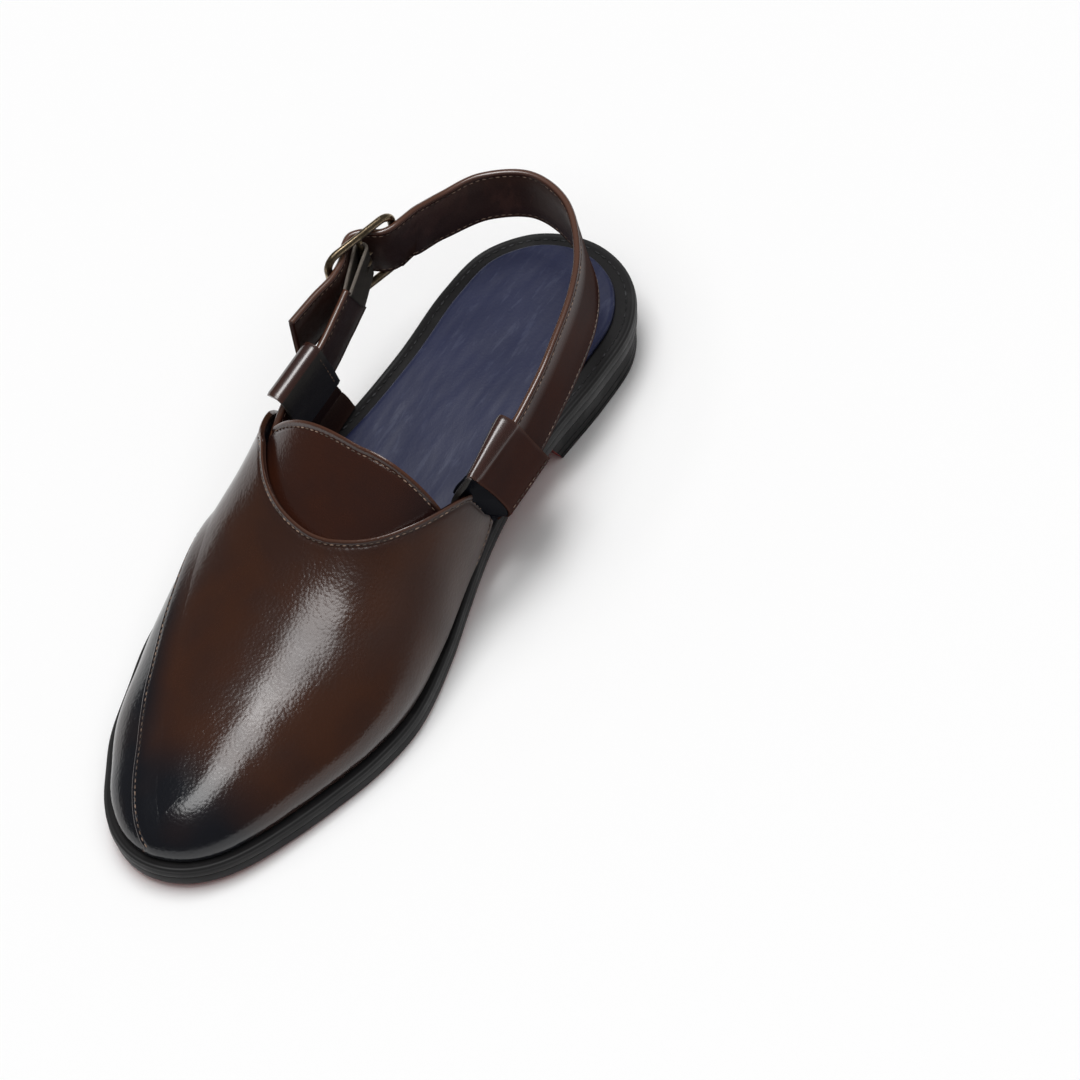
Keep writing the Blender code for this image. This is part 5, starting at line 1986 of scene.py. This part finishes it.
class CHAPPAL_OT_stage(bpy.types.Operator):
    """Set up the pale floor, soft studio lamps and the camera"""

    bl_idname = "chappal.stage"
    bl_label = "Stage"

    def execute(self, context):
        scene = context.scene
        tones = scene.chappal_colours
        scene.view_settings.view_transform = "Standard"
        work = bmesh.new()
        bmesh.ops.create_grid(work, x_segments=4, y_segments=4, size=4.0)
        floor_mesh = mesh_of(work, "floor")
        floor = bpy.data.objects.new("floor", floor_mesh)
        scene.collection.objects.link(floor)
        material, _, shader, _ = new_finish("floor", 0.55, specular=0.2)
        shader.inputs["Base Color"].default_value = (*tones.floor, 1.0)
        floor_mesh.materials.append(material)

        world = bpy.data.worlds.new("studio")
        scene.world = world
        world.use_nodes = True
        sky = world.node_tree.nodes["Background"]
        sky.inputs["Color"].default_value = (1.0, 1.0, 1.0, 1.0)
        sky.inputs["Strength"].default_value = 0.11

        for name, strength, spread, way, mirrored in STUDIO:
            lamp = bpy.data.lights.new(name, "SUN")
            lamp.energy = strength
            lamp.angle = math.radians(spread)
            source = bpy.data.objects.new(name, lamp)
            scene.collection.objects.link(source)
            source.rotation_euler = Vector(way).to_track_quat("Z", "Y").to_euler()
            source.visible_glossy = mirrored

        camera = bpy.data.cameras.new("camera")
        camera.lens = 344.9
        camera.sensor_width = 36.0
        camera.clip_start = 0.1
        camera.clip_end = 50.0
        viewer = bpy.data.objects.new("camera", camera)
        scene.collection.objects.link(viewer)
        scene.camera = viewer
        target = Vector((0.0538, 0.0314, 0.020))
        azimuth, elevation, roll = (math.radians(angle) for angle in (46.674, 54.719, -13.95))
        distance = 3.5824
        back = Vector(
            (
                math.sin(azimuth) * math.cos(elevation),
                -math.cos(azimuth) * math.cos(elevation),
                math.sin(elevation),
            )
        )
        right = Vector((0, 0, 1)).cross(back).normalized()
        upward = back.cross(right)
        turn = Matrix.Rotation(roll, 3, back)
        axes = Matrix((turn @ right, turn @ upward, back)).transposed()
        viewer.matrix_world = Matrix.Translation(target + back * distance) @ axes.to_4x4()
        return {"FINISHED"}


# ---------------------------------------------------------------- panel and registering
class CHAPPAL_PT_panel(bpy.types.Panel):
    """Sizes, colours and building steps in the sidebar"""

    bl_idname = "CHAPPAL_PT_panel"
    bl_label = "Peshawari chappal"
    bl_space_type = "VIEW_3D"
    bl_region_type = "UI"
    bl_category = "Chappal"

    def draw(self, context):
        layout = self.layout
        for group in (context.scene.chappal_sizes, context.scene.chappal_colours):
            box = layout.box()
            for name in group.bl_rna.properties.keys():
                if name not in ("rna_type", "name"):
                    box.prop(group, name)
        for operator in OPERATORS:
            layout.operator(operator.bl_idname)


OPERATORS = (
    CHAPPAL_OT_stage,
    CHAPPAL_OT_sole,
    CHAPPAL_OT_insole,
    CHAPPAL_OT_tongue,
    CHAPPAL_OT_vamp,
    CHAPPAL_OT_loops,
    CHAPPAL_OT_straps,
    CHAPPAL_OT_buckle,
)
CLASSES = (ChappalSizes, ChappalColours, *OPERATORS, CHAPPAL_PT_panel)


def register():
    for kind in CLASSES:
        bpy.utils.register_class(kind)
    bpy.types.Scene.chappal_sizes = PointerProperty(type=ChappalSizes)
    bpy.types.Scene.chappal_colours = PointerProperty(type=ChappalColours)


def unregister():
    del bpy.types.Scene.chappal_colours
    del bpy.types.Scene.chappal_sizes
    for kind in reversed(CLASSES):
        bpy.utils.unregister_class(kind)


def main():
    register()
    bpy.ops.chappal.stage()
    bpy.ops.chappal.sole()
    bpy.ops.chappal.insole()
    bpy.ops.chappal.tongue()
    bpy.ops.chappal.vamp()
    bpy.ops.chappal.loops()
    bpy.ops.chappal.straps()
    bpy.ops.chappal.buckle()


if __name__ == "__main__":
    main()
